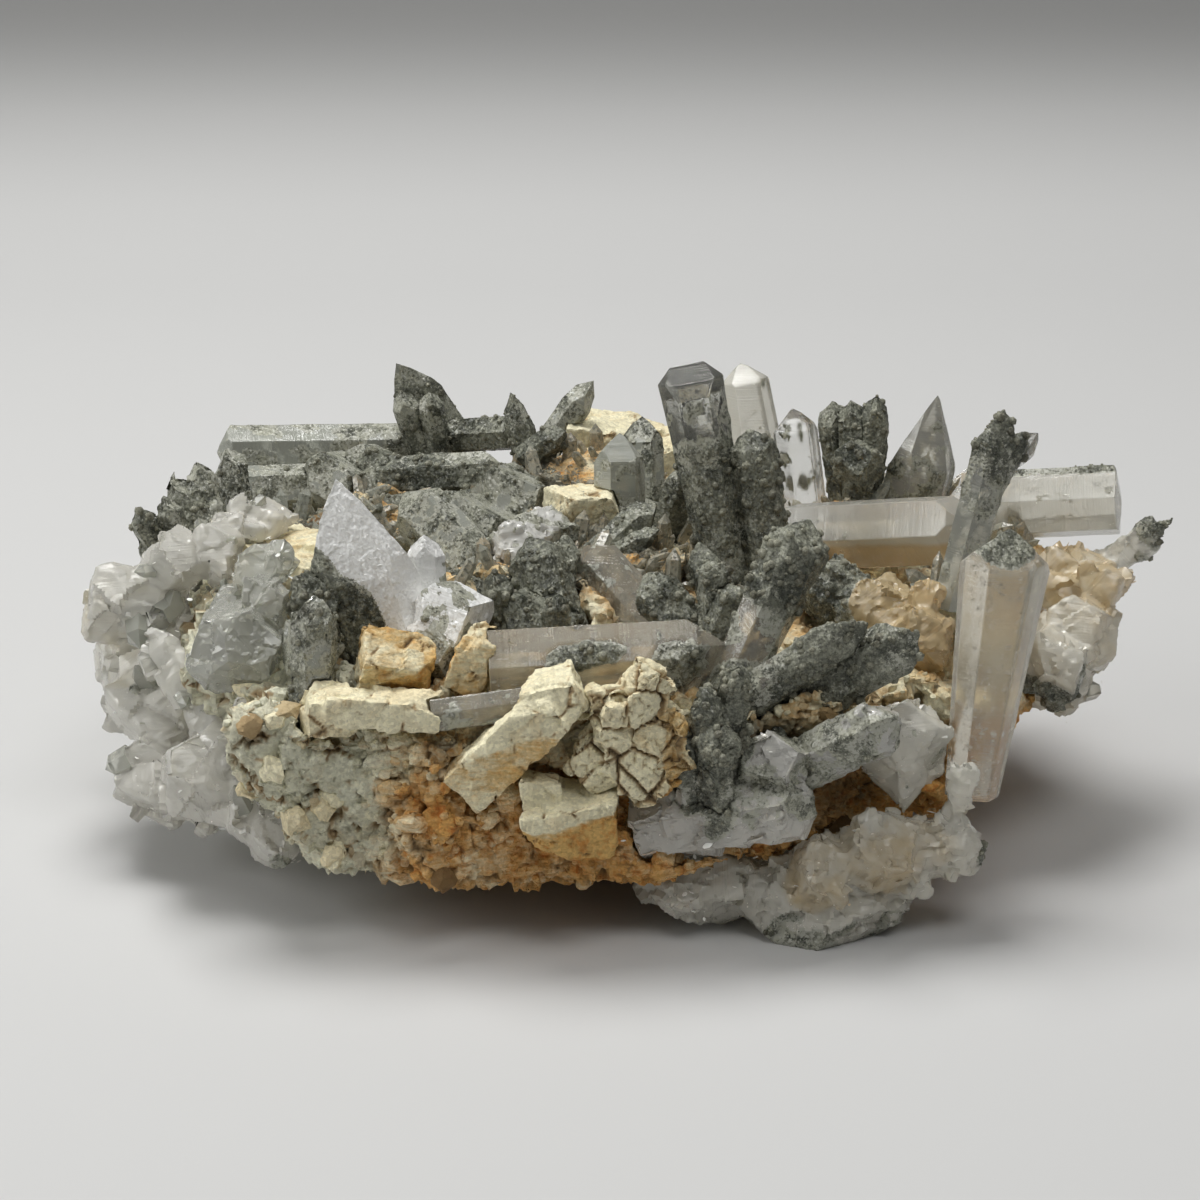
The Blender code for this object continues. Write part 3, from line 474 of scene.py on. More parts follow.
@dataclass(frozen=True)
class Chlorite:
    """The granular green-grey coat that lies on crystals and rock."""

    name: str = "chlorite_coat"
    dark: Colour = (0.055, 0.06, 0.044)
    middle: Colour = (0.225, 0.23, 0.18)
    dusty: Colour = (0.43, 0.43, 0.345)
    under: Colour = (0.42, 0.42, 0.36)
    sparkle: float = 0.36

    def cover(self, tree: MaterialTree) -> bpy.types.NodeSocket:
        """Returns where the coat hides what it lies on: all over where it is thick, and in specks where it is thin."""
        specks = tree.swing(tree.place, 0.55, 3.0, 0.7)
        return tree.step(tree.line(specks, 0.75, tree.reading("coat")), 0.42, 0.62)

    def colour(self, tree: MaterialTree) -> bpy.types.NodeSocket:
        """Returns the coat's colour in a material that is being built, with painted shade at the rims of its grains.
        """
        patches = tree.step(tree.noise(tree.place, 6.5, 4.0, 0.6), 0.36, 0.64)
        colour = tree.colour(patches, self.dark, self.middle)
        dust = tree.step(tree.noise(tree.place, 1.1, 4.0, 0.7), 0.46, 0.8)
        colour = tree.colour(dust, colour, self.dusty)
        # Painted shade: each grain is painted lighter at its dome and darker towards its rim, times a random tone for
        # each small cell.
        light = tree.line(tree.reading("dome"), 0.4, 0.75)
        light = tree.math("MULTIPLY", light, tree.line(tree.share(tree.cells(tree.place, 0.3)), 0.7, 0.65))
        grey = tree.add("ShaderNodeCombineXYZ", {0: light, 1: light, 2: light}).outputs[0]
        return tree.colour(1.0, colour, grey, "MULTIPLY")

    def gloss(self, tree: MaterialTree) -> bpy.types.NodeSocket:
        """Returns the coat's roughness: dull, with small bright faces here and there."""
        return tree.blend(tree.step(tree.noise(tree.place, 0.33, 0.0), 0.35, 0.7), 0.25, 0.85)

    def material(self) -> bpy.types.Material:
        """Returns the coat as a material of its own, over grey quartz that shows between thin specks."""
        tree = MaterialTree(self.name)
        coat = self.cover(tree)
        under = tree.colour(tree.step(tree.noise(tree.place, 2.6, 4.0), 0.4, 0.7), self.under, self.dusty)
        colour = tree.colour(coat, under, self.colour(tree))
        normal = tree.tilted(self.sparkle, tree.blend(coat, 0.5, 0.95))
        normal = tree.bump(tree.noise(tree.place, 0.5, 4.0, 0.7), 0.12, normal)
        rough = tree.blend(coat, 0.22, self.gloss(tree))
        return tree.finish({"Base Color": colour, "Roughness": rough, "IOR": 1.55, "Normal": normal})


@dataclass(frozen=True)
class Quartz:
    """Quartz from clear to milky, with iron stain and thin specks of chlorite where the surface says so."""

    name: str
    clearness: float
    glass: Colour = (0.95, 0.955, 0.94)
    milk: Colour = (0.84, 0.83, 0.78)
    stain: Colour = (0.66, 0.44, 0.2)
    roughness: float = 0.05
    tint: Colour = (0.85, 0.86, 0.8)
    density: float = 25.0
    sugar: float = 0.0
    ripple: float = 0.03
    chlorite: Chlorite = Chlorite()

    def material(self) -> bpy.types.Material:
        """Returns the finish as a material. Its transmission is plain, so that other programs read it too."""
        tree = MaterialTree(self.name)
        coat = self.chlorite.cover(tree)
        milk = tree.step(tree.line(tree.swing(tree.place, 5.0, 4.0, 0.6), 0.6, tree.reading("milk")), 0.15, 0.9)
        stain = tree.line(tree.swing(tree.place, 6.0, 4.0), 0.5, tree.reading("stain"))
        colour = tree.colour(milk, self.glass, self.milk)
        colour = tree.colour(tree.step(stain, 0.2, 0.95), colour, self.stain)
        colour = tree.colour(coat, colour, self.chlorite.colour(tree))

        smear = tree.step(tree.noise(tree.place, 2.4, 3.0, 0.65), 0.5, 0.75)
        bare = tree.line(smear, 0.1, tree.line(milk, 0.14, self.roughness))
        rough = tree.blend(coat, bare, 0.7)
        tilt = tree.blend(coat, tree.line(milk, self.sugar, self.ripple), 0.6)
        normal = tree.tilted(self.chlorite.sparkle, tilt)
        lines = tree.add("ShaderNodeCombineXYZ", {0: tree.math("MULTIPLY", tree.reading("along"), 2.6)}).outputs[0]
        growth = tree.add("ShaderNodeTexNoise", {"Vector": lines, "Scale": 1.0, "Detail": 3.0, "Roughness": 0.7})
        normal = tree.bump(growth.outputs[0], 0.11, normal)
        normal = tree.bump(tree.noise(tree.place, 0.9, 2.0, 0.7), 0.035, normal)
        inputs = {
            "Base Color": colour, "Roughness": rough, "IOR": 1.544, "Transmission Weight": self.clearness,
            "Normal": normal,
        }
        if self.clearness == 0.0:
            return tree.finish(inputs)
        depth = tree.add("ShaderNodeVolumeAbsorption", {"Color": opaque(self.tint), "Density": self.density})
        return tree.finish(inputs, depth)


@dataclass(frozen=True)
class Stone:
    """Feldspar and the altered rock made of it: powdery, cracked and stained by iron."""

    name: str
    pale: Colour = (0.7, 0.64, 0.42)
    tan: Colour = (0.56, 0.44, 0.24)
    grey: Colour = (0.44, 0.44, 0.34)
    ochre: Colour = (0.46, 0.235, 0.06)
    rust: Colour = (0.46, 0.16, 0.025)
    gap: Colour = (0.33, 0.2, 0.075)
    deep: Colour = (0.035, 0.02, 0.01)
    greyness: float = 0.5
    earth: float = 0.4
    chlorite: Chlorite = Chlorite()

    def material(self) -> bpy.types.Material:
        """Returns the finish as a material."""
        tree = MaterialTree(self.name)
        coat = self.chlorite.cover(tree)
        tone = tree.reading("tone")
        broad = tree.swing(tree.place, 8.0, 5.0, 0.6)
        small = tree.noise(tree.place, 2.0, 5.0, 0.68)
        tiny = tree.noise(tree.place, 0.42, 4.0, 0.72)
        flaky = tree.noise(tree.vector("MULTIPLY", tree.place, (0.5, 0.5, 2.2)), 1.3, 5.0, 0.7)
        colour = tree.colour(tree.step(tree.line(small, 0.8, tone), 0.75, 1.25), self.pale, self.tan)
        grey = tree.math("MULTIPLY", tree.step(tree.line(tree.reading("milk"), 0.35, small), 0.5, 0.85), self.greyness)
        colour = tree.colour(grey, colour, self.grey)
        iron = tree.line(tree.math("SUBTRACT", tone, 0.5), 0.3, tree.line(broad, 0.55, tree.reading("stain")))
        iron = tree.line(tree.math("SUBTRACT", flaky, 0.5), 0.9, iron)
        colour = tree.colour(tree.step(iron, 0.1, 0.85), colour, self.ochre)
        rusty = tree.math("MULTIPLY", tree.step(small, 0.46, 0.68), tree.step(iron, 0.45, 0.9))
        colour = tree.colour(rusty, colour, self.rust)
        dark = tree.math("MULTIPLY", tree.step(flaky, 0.52, 0.72), tree.step(iron, 0.3, 1.0))
        colour = tree.colour(tree.math("MULTIPLY", dark, self.earth), colour, self.deep)
        pepper = tree.math("MULTIPLY", tree.step(tiny, 0.56, 0.78), 0.4)
        colour = tree.colour(pepper, colour, self.gap)
        grit = tree.line(tree.share(tree.cells(tree.place, 0.5)), 0.32, 0.84)
        grey = tree.add("ShaderNodeCombineXYZ", {0: grit, 1: grit, 2: grit}).outputs[0]
        colour = tree.colour(1.0, colour, grey, "MULTIPLY")
        hollow = tree.reading("hollow")
        colour = tree.colour(tree.math("MULTIPLY", tree.step(hollow, 0.1, 0.7), 0.8), colour, self.gap)
        # Near-black in the deepest cracks and pits, and painted shade wherever the rock's shade attribute marks a
        # hollow.
        crack_and_shade = tree.math("MULTIPLY", tree.step(hollow, 0.6, 1.0), 0.8)
        crack_and_shade = tree.math("MAXIMUM", crack_and_shade, tree.reading("shade"))
        colour = tree.colour(tree.math("MULTIPLY", crack_and_shade, 0.92), colour, self.deep)
        colour = tree.colour(tree.math("MULTIPLY", coat, 0.92), colour, self.chlorite.colour(tree))
        rough = tree.blend(coat, 0.85, self.chlorite.gloss(tree))
        normal = tree.tilted(self.chlorite.sparkle, tree.blend(coat, 0.4, 0.8))
        normal = tree.bump(flaky, 0.3, normal)
        normal = tree.bump(tiny, 0.22, normal)
        return tree.finish({"Base Color": colour, "Roughness": rough, "IOR": 1.52, "Normal": normal})


@dataclass(frozen=True)
class Zone:
    """A stretch of skin along one crystal, or round one place, with what lies on it from foot to tip."""

    foot: Point
    tip: Point
    reach: float
    coat: Pair = (0.0, 0.0)
    milk: Pair = (0.0, 0.0)
    stain: Pair = (0.0, 0.0)
    inside: Pair = (0.0, 0.0)

    def meets(self, points: np.ndarray) -> tuple[np.ndarray, np.ndarray, np.ndarray]:
        """Works out how the zone holds some points.

        Args:
            points: places in millimetres, one in each row.

        Returns:
            How strongly it holds each, how far along it each lies from 0 to 1, and the same in millimetres.
        """
        foot = np.array(self.foot)
        axis = np.array(self.tip) - foot
        length = float(np.linalg.norm(axis))
        along = np.clip((points - foot) @ axis / max(length * length, 1e-6), 0.0, 1.0)
        away = np.linalg.norm(points - foot - along[:, None] * axis, axis=1)
        hold = np.clip((self.reach - away) / (0.3 * self.reach) + 0.5, 0.0, 1.0)
        return hold ** 2, along, (points - foot) @ axis / max(length, 1e-6)


@dataclass(frozen=True)
class Look:
    """What a skin wears outside its zones: chlorite, milkiness, iron stain, and grains inside, from 0 to 1."""

    coat: float = 0.0
    milk: float = 0.0
    stain: float = 0.0
    inside: float = 0.0


@dataclass(frozen=True)
class Member:
    """One CAD node, and how its skin is made and dressed."""

    node: str
    slot: Slot
    finish: Quartz | Stone
    look: Look
    zones: tuple[Zone, ...] = ()
    skin: Skin = Skin.FACETS
    weather: Weather = Weather()
    pitch: float = 0.62
    wear: float = 0.22
    stubs: float = 0.0


CHLORITE = Chlorite()
CLEAR = Quartz("clear_quartz", 0.94, tint=(0.88, 0.88, 0.82), density=18.0)
CLOUDY = Quartz(
    "cloudy_quartz", 0.66, glass=(0.94, 0.93, 0.86), milk=(0.93, 0.91, 0.83), stain=(0.85, 0.6, 0.3), roughness=0.05,
    tint=(0.9, 0.89, 0.82), density=14.0,
)
PEACH = Quartz(
    "peach_quartz", 0.84, glass=(0.99, 0.97, 0.9), milk=(0.97, 0.92, 0.81), stain=(0.96, 0.82, 0.58),
    tint=(0.94, 0.91, 0.83), density=7.0,
)
PALE = Quartz(
    "pale_quartz", 0.7, glass=(0.84, 0.85, 0.78), milk=(0.88, 0.88, 0.81), tint=(0.86, 0.87, 0.8), density=14.0,
)
SMOKY = Quartz("smoky_quartz", 0.9, glass=(0.88, 0.88, 0.83), tint=(0.6, 0.61, 0.54), density=45.0)
TAWNY = Quartz(
    "tawny_quartz", 0.72, glass=(0.72, 0.68, 0.57), milk=(0.76, 0.72, 0.61), stain=(0.6, 0.44, 0.24),
    tint=(0.84, 0.8, 0.69), density=22.0,
)
GREY = Quartz(
    "grey_quartz", 0.48, glass=(0.62, 0.64, 0.56), milk=(0.62, 0.63, 0.56), tint=(0.7, 0.72, 0.65), density=35.0,
)
MILKY = Quartz(
    "milky_quartz", 0.4, glass=(0.93, 0.92, 0.87), milk=(0.97, 0.96, 0.91), stain=(0.92, 0.85, 0.62), roughness=0.05,
    tint=(0.93, 0.92, 0.87), density=8.0,
)
ICE = Quartz(
    "ice_quartz", 0.56, glass=(0.99, 0.975, 0.91), milk=(0.99, 0.965, 0.89), stain=(0.96, 0.86, 0.6), roughness=0.05,
    tint=(0.95, 0.94, 0.87), density=5.0, ripple=0.06,
)
WHITE = Quartz("white_quartz", 0.1, milk=(0.95, 0.95, 0.93), roughness=0.1, sugar=0.5)
STAINED = Quartz(
    "stained_quartz", 0.5, glass=(0.99, 0.97, 0.88), milk=(0.99, 0.96, 0.85), stain=(0.86, 0.68, 0.4), roughness=0.06,
    tint=(0.95, 0.92, 0.83), density=6.0,
)
WISP = Quartz("inner_veil", 0.0, glass=(0.9, 0.9, 0.86), milk=(0.95, 0.95, 0.92), roughness=0.3)
FELDSPAR = Stone(
    "feldspar", pale=(0.88, 0.82, 0.58), tan=(0.8, 0.7, 0.46), ochre=(0.66, 0.42, 0.14), rust=(0.56, 0.24, 0.05),
    greyness=0.08, earth=0.2,
)
ROCK = Stone(
    "host_rock", pale=(0.84, 0.79, 0.57), tan=(0.66, 0.54, 0.32), grey=(0.62, 0.63, 0.51), ochre=(0.66, 0.36, 0.1),
    rust=(0.52, 0.18, 0.03), greyness=0.75, earth=0.55,
)


def points_of(mesh: bpy.types.Mesh) -> np.ndarray:
    """Returns a mesh's points in millimetres, before the model was centred."""
    flat = np.empty(len(mesh.vertices) * 3, np.float32)
    mesh.vertices.foreach_get("co", flat)
    return flat.reshape(-1, 3).astype(float) * TO_MM - CENTRING


def write(mesh: bpy.types.Mesh, name: str, values: np.ndarray) -> None:
    """Writes one number for each point of a mesh."""
    layer = mesh.attributes.get(name) or mesh.attributes.new(name, "FLOAT", "POINT")
    layer.data.foreach_set("value", values.astype(np.float32))


def read(mesh: bpy.types.Mesh, name: str) -> np.ndarray:
    """Returns one number for each point of a mesh."""
    values = np.zeros(len(mesh.vertices), np.float32)
    mesh.attributes[name].data.foreach_get("value", values)
    return values


def fresh(name: str, bm: bmesh.types.BMesh) -> bpy.types.Mesh:
    """Returns a plain mesh of what bm holds, with none of its layers, and frees bm."""
    bm.verts.index_update()
    mesh = bpy.data.meshes.new(name)
    mesh.from_pydata([v.co[:] for v in bm.verts], [], [[v.index for v in f.verts] for f in bm.faces])
    bm.free()
    return mesh


def solid_of(node: str) -> bmesh.types.BMesh:
    """Returns a CAD node's mesh with its loose triangles joined."""
    bm = bmesh.new()
    bm.from_mesh(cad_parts[node].data)
    bmesh.ops.remove_doubles(bm, verts=bm.verts, dist=1e-6)
    return bm


def evaluated(mesh: bpy.types.Mesh, modify: Callable[[bpy.types.Object], None]) -> bpy.types.Mesh:
    """Runs modifiers on a mesh.

    Args:
        mesh: the mesh to start from, which is removed.
        modify: adds the modifiers to the object that it is given.

    Returns:
        The result as a plain mesh.
    """
    holder = bpy.data.objects.new("holder", mesh)
    bpy.context.scene.collection.objects.link(holder)
    modify(holder)
    graph = bpy.context.evaluated_depsgraph_get()
    result = bpy.data.meshes.new_from_object(holder.evaluated_get(graph), preserve_all_data_layers=True, depsgraph=graph)
    bpy.data.objects.remove(holder)
    bpy.data.meshes.remove(mesh)
    return result


def through(mesh: bpy.types.Mesh, tree: bpy.types.NodeTree, inputs: dict[str, object]) -> bpy.types.Mesh:
    """Returns what a Geometry Nodes tree makes of a mesh, with the tree's inputs set by name."""

    def modify(holder: bpy.types.Object) -> None:
        """Adds the tree as a modifier."""
        modifier = holder.modifiers.new("nodes", "NODES")
        modifier.node_group = tree
        for item in tree.interface.items_tree:
            if item.in_out == "INPUT" and item.name in inputs:
                modifier[item.identifier] = inputs[item.name]

    return evaluated(mesh, modify)


def faceted(bm: bmesh.types.BMesh, name: str, wear: float, pitch: float) -> bpy.types.Mesh:
    """Divides a crystal's flat faces finely and wears its edges.

    Args:
        bm: the crystal, which is freed.
        name: the mesh's name.
        wear: how wide a worn edge is.
        pitch: how long the sides of the small faces are at most.

    Returns:
        The divided mesh.
    """
    bmesh.ops.dissolve_limit(bm, angle_limit=math.radians(1.5), verts=bm.verts, edges=bm.edges)
    sharp = [e for e in bm.edges if len(e.link_faces) == 2 and e.calc_face_angle(0.0) > math.radians(14.0)]
    bmesh.ops.bevel(
        bm, geom=sharp, offset=wear * MM, offset_type="OFFSET", segments=2, profile=0.6, affect="EDGES",
        clamp_overlap=True,
    )
    bmesh.ops.triangulate(bm, faces=bm.faces)
    for _ in range(7):
        long_edges = [e for e in bm.edges if e.calc_length() > 1.4 * pitch * MM]
        if not long_edges:
            break
        bmesh.ops.subdivide_edges(bm, edges=long_edges, cuts=1)
        bmesh.ops.triangulate(bm, faces=[f for f in bm.faces if len(f.verts) > 3])
    return fresh(name, bm)


def remeshed(bm: bmesh.types.BMesh, name: str, pitch: float) -> bpy.types.Mesh:
    """Returns a rough body's mesh with small even faces, and frees bm."""

    def modify(holder: bpy.types.Object) -> None:
        """Adds a voxel remesh."""
        modifier = holder.modifiers.new("remesh", "REMESH")
        modifier.mode = "VOXEL"
        modifier.voxel_size = pitch * MM

    return evaluated(fresh(name, bm), modify)


def divided(mesh: bpy.types.Mesh, chosen: np.ndarray) -> bpy.types.Mesh:
    """Returns the mesh with the chosen faces divided into four, and removes the mesh."""
    bm = bmesh.new()
    bm.from_mesh(mesh)
    name = mesh.name
    bpy.data.meshes.remove(mesh)
    bm.faces.ensure_lookup_table()
    edges = {edge for index in np.flatnonzero(chosen) for edge in bm.faces[index].edges}
    bmesh.ops.subdivide_edges(bm, edges=list(edges), cuts=1, use_grid_fill=True)
    bmesh.ops.triangulate(bm, faces=[face for face in bm.faces if len(face.verts) > 4])
    return fresh(name, bm)


def paint(mesh: bpy.types.Mesh, look: Look, zones: Sequence[Zone]) -> None:
    """Writes what each point of a skin is meant to wear, from its zones and the look outside them."""
    points = points_of(mesh)
    outside = 0.02
    total = np.full(len(points), outside)
    along = points[:, 2] * outside
    worn = {name: np.full(len(points), getattr(look, name) * outside) for name in WORN}
    for zone in zones:
        hold, share, distance = zone.meets(points)
        total += hold
        along += hold * distance
        for name, values in worn.items():
            foot, tip = getattr(zone, name)
            values += hold * (foot + (tip - foot) * share)
    write(mesh, "along", along / total)
    for name, values in worn.items():
        write(mesh, name, values / total)


def face_mean(mesh: bpy.types.Mesh, name: str) -> np.ndarray:
    """Returns the mean of an attribute over each face's corners."""
    first = np.empty(len(mesh.polygons), np.int32)
    mesh.polygons.foreach_get("loop_start", first)
    corner = np.empty(len(mesh.loops), np.int32)
    mesh.loops.foreach_get("vertex_index", corner)
    count = np.diff(np.append(first, len(mesh.loops)))
    return np.add.reduceat(read(mesh, name)[corner], first) / count


def shade(mesh: bpy.types.Mesh, coated_only: bool) -> None:
    """Shades a mesh smooth, or only where it is coated, so that bare crystal faces stay flat."""
    smooth = np.ones(len(mesh.polygons), bool)
    if coated_only:
        smooth = face_mean(mesh, "coat") > 0.3
    mesh.polygons.foreach_set("use_smooth", smooth)
    if not coated_only:
        mesh.set_sharp_from_angle(angle=math.radians(38.0))


class Library:
    """The trees and materials that the pieces share, each made once."""

    def __init__(self) -> None:
        """Builds the trees."""
        self.weathering = weathering()
        self.made: dict[str, bpy.types.Material] = {}

    def material(self, finish: Chlorite | Quartz | Stone) -> bpy.types.Material:
        """Returns the material of a finish."""
        if finish.name not in self.made:
            self.made[finish.name] = finish.material()
        return self.made[finish.name]


def place(name: str, mesh: bpy.types.Mesh, slot: Slot) -> bpy.types.Object:
    """Puts a finished mesh in the scene as a piece that rides on the root body.

    Args:
        name: the piece's name.
        mesh: its mesh, with every point already in its place.
        slot: not used.

    Returns:
        The piece.
    """
    piece = bpy.data.objects.new(name, mesh)
    bpy.context.scene.collection.objects.link(piece)
    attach(piece, "root")
    triangles = sum(len(face.vertices) - 2 for face in mesh.polygons)
    LOG.info("%s: %d triangles", name, triangles)
    return piece


class Growth:
    """A sub-assembly made of CAD nodes, each dressed in its own way."""

    hidden: float = 0.36
    glassy: float = 0.48

    def members(self) -> list[Member]:
        """Returns the nodes and how each is dressed."""
        raise NotImplementedError

    def repaint(self, member: Member, mesh: bpy.types.Mesh) -> None:
        """Adds to what a skin wears, where its zones can't say it."""

    def refine(self, mesh: bpy.types.Mesh) -> bpy.types.Mesh:
        """Returns the mesh with more faces where it needs them."""
        return mesh

    def build(self, library: Library) -> list[bpy.types.Object]:
        """Builds every member, puts it in the scene in place of its node and returns the pieces."""
        return [self.dress(member, library) for member in self.members()]

    def dress(self, member: Member, library: Library) -> bpy.types.Object:
        """Makes the piece that stands for one node."""
        name = member.node + "_detail"
        solid = solid_of(member.node)
        if member.skin is Skin.FACETS:
            mesh = faceted(solid, name, member.wear, member.pitch)
        else:
            mesh = self.refine(remeshed(solid, name, member.pitch))
        paint(mesh, member.look, member.zones)
        if isinstance(member.finish, Quartz) and member.finish.clearness > self.glassy:
            write(mesh, "wisps", read(mesh, "milk") + 0.35 - np.clip(read(mesh, "coat"), 0.0, 1.0))
        if member.stubs > 0.0:
            write(mesh, "stubs", np.full(len(mesh.vertices), member.stubs))
        self.repaint(member, mesh)
        mesh = through(mesh, library.weathering, member.weather.inputs())
        mesh.name = name
        shade(mesh, member.skin is Skin.FACETS)
        mesh.materials.clear()
        mesh.materials.append(library.material(member.finish))
        if isinstance(member.finish, Quartz):
            mesh.materials.append(library.material(CHLORITE))
            mesh.polygons.foreach_set("material_index", (face_mean(mesh, "coat") > self.hidden).astype(np.int32))
        piece = place(name, mesh, member.slot)
        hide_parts(member.node)
        return piece


@dataclass
class HostRock(Growth):
    """The slab of altered rock that carries everything."""

    pitch: float = 1.0
    front: float = -22.0
    top: float = 40.0
    # Centres and reaches, in millimetres, of the hollows where painted shade darkens the rock's colour.
    shaded: tuple[tuple[Point, float], ...] = (
        ((38, -43, 25), 14.0), ((22, -44, 33), 8.5), ((-2, -43, 37), 7.0), ((-29, -47, 36), 5.0), ((-53, 25, 50), 9.0),
        ((11, -36, 34), 7.0),
    )
    weather: Weather = Weather(
        patch=5.0, grain=1.1, coat_depth=0.35, lump=7.0, lump_depth=1.3, facet=4.6, facet_depth=1.2, bend=2.4,
        pillow_depth=0.2, crack_depth=0.7, crack_share=0.45, layer_depth=0.6, pit_depth=1.5, fine=1.0, fine_depth=0.3,
        seed=2.0,
    )

    def members(self) -> list[Member]:
        """Returns the rock alone."""
        look = Look(coat=0.3, stain=0.5)
        return [Member("rock", Slot.ROCK, ROCK, look, (), Skin.ROUGH, self.weather, self.pitch)]

    def refine(self, mesh: bpy.types.Mesh) -> bpy.types.Mesh:
        """Divides the broken front once more."""
        corner = np.empty(len(mesh.polygons) * 3, np.float32)
        mesh.polygons.foreach_get("center", corner)
        centre = corner.reshape(-1, 3) * TO_MM - CENTRING
        mesh.polygons.foreach_get("normal", corner)
        facing = corner.reshape(-1, 3)
        chosen = (centre[:, 1] < self.front - 10.0) & (centre[:, 2] > 4.0) & (facing[:, 1] < 0.3)
        return divided(mesh, chosen)

    def repaint(self, member: Member, mesh: bpy.types.Mesh) -> None:
        """Leaves the broken front bare and ochre, its left part grey and cream, the top coated with chlorite, and
        paints shade in hollows.
        """
        points = points_of(mesh)
        rise = np.clip((points[:, 2] - self.top) / 8.0, 0.0, 1.0)
        behind = np.clip((points[:, 1] - self.front) / 14.0, 0.0, 1.0)
        left = np.clip((-34.0 - points[:, 0]) / 10.0, 0.0, 1.0) * (1.0 - rise * behind)
        shadow = np.zeros(len(points))
        for centre, reach in self.shaded:
            away = np.linalg.norm(points - np.array(centre), axis=1)
            shadow = np.maximum(shadow, np.clip(1.6 - 1.6 * away / reach, 0.0, 1.0))
        cream = np.clip((points[:, 2] - 27.0) / 9.0, 0.0, 1.0) * (1.0 - rise * behind) * (1.0 - left)
        ahead = 1.0 - rise * behind
        write(mesh, "coat", -0.35 + 0.9 * rise * behind + 0.28 * left)
        write(mesh, "stain", 0.65 - 0.2 * rise * behind - 0.6 * left - 0.35 * cream)
        write(mesh, "milk", left)
        # Painted shade: the listed hollows are painted dark, and fewer small crystals and blocks are strewn there.
        write(mesh, "shade", shadow)
        write(mesh, "druse", np.clip(rise * behind * 1.2, 0.0, 1.0) * (1.0 - shadow))
        write(mesh, "crumbs", ahead * (points[:, 2] > 4.0))
        write(mesh, "blocks", np.maximum(cream, 0.75 * left) * (points[:, 1] < self.front) * (1.0 - shadow))
        write(mesh, "chunks", ahead * (1.0 - cream) * (points[:, 2] > 6.0) * (points[:, 1] < self.front))


@dataclass
class Feldspar(Growth):
    """The cream blocks at the front and the cream knobs on top."""

    pitch: float = 0.42
    weather: Weather = Weather(
        patch=3.0, lump=3.5, lump_depth=0.5, facet=5.0, facet_depth=0.4, bend=1.0, pillow_depth=0.2, crack_depth=0.35,
        crack_share=0.4, layer_depth=0.14, fine=0.8, fine_depth=0.14, coat_depth=0.2, seed=3.0,
    )
    rubble: Weather = Weather(
        patch=3.0, lump=4.0, lump_depth=0.3, facet=5.0, facet_depth=1.1, chip_share=0.15, bend=0.5, pillow_depth=0.5,
        crack_depth=0.9, crack_share=0.9, layer_depth=0.12, fine=0.8, fine_depth=0.12, coat_depth=0.2, seed=3.5,
    )

    def members(self) -> list[Member]:
        """Returns the feldspar nodes."""
        underside = {
            "feldspar_bar": (Zone((-30, -47, 26), (-13, -47, 34), 5, coat=(-0.3, -0.3), stain=(0.45, 0.6)),),
            "feldspar_brick": (Zone((-20, -48, 18), (2, -48, 19.5), 6.5, coat=(-0.3, -0.3), stain=(0.9, 1.0)),),
            "feldspar_rubble": (Zone((9, -47, 42), (8, -47, 28), 3, coat=(-0.1, -0.1), stain=(0.5, 0.6)),),
            "tan_block_left": (Zone((-36, -36, 39), (-31, -37, 40), 5, coat=(-0.3, -0.3), stain=(0.8, 0.9)),),
        }
        looks = {
            "feldspar_bar": Look(-0.4, 0.0, -0.1),
            "feldspar_brick": Look(-0.4, 0.0, -0.05),
            "feldspar_rubble": Look(-0.4, 0.0, 0.0),
            "feldspar_ledge": Look(-0.05, 0.3, -0.3),
            "tan_block_left": Look(-0.4, 0.0, 0.5),
            "tan_block_right": Look(-0.3, 0.0, 0.4),
            "feldspar_patch": Look(-0.1, 0.0, 0.15),
            "middle_feldspar_knob": Look(0.2, 0.0, 0.2),
            "back_feldspar_knob": Look(0.1, 0.0, -0.2),
        }
        return [
            Member(
                node, Slot.FELDSPAR, FELDSPAR, look, underside.get(node, ()), Skin.ROUGH,
                self.rubble if node == "feldspar_rubble" else self.weather, self.pitch,
            )
            for node, look in looks.items()
        ]


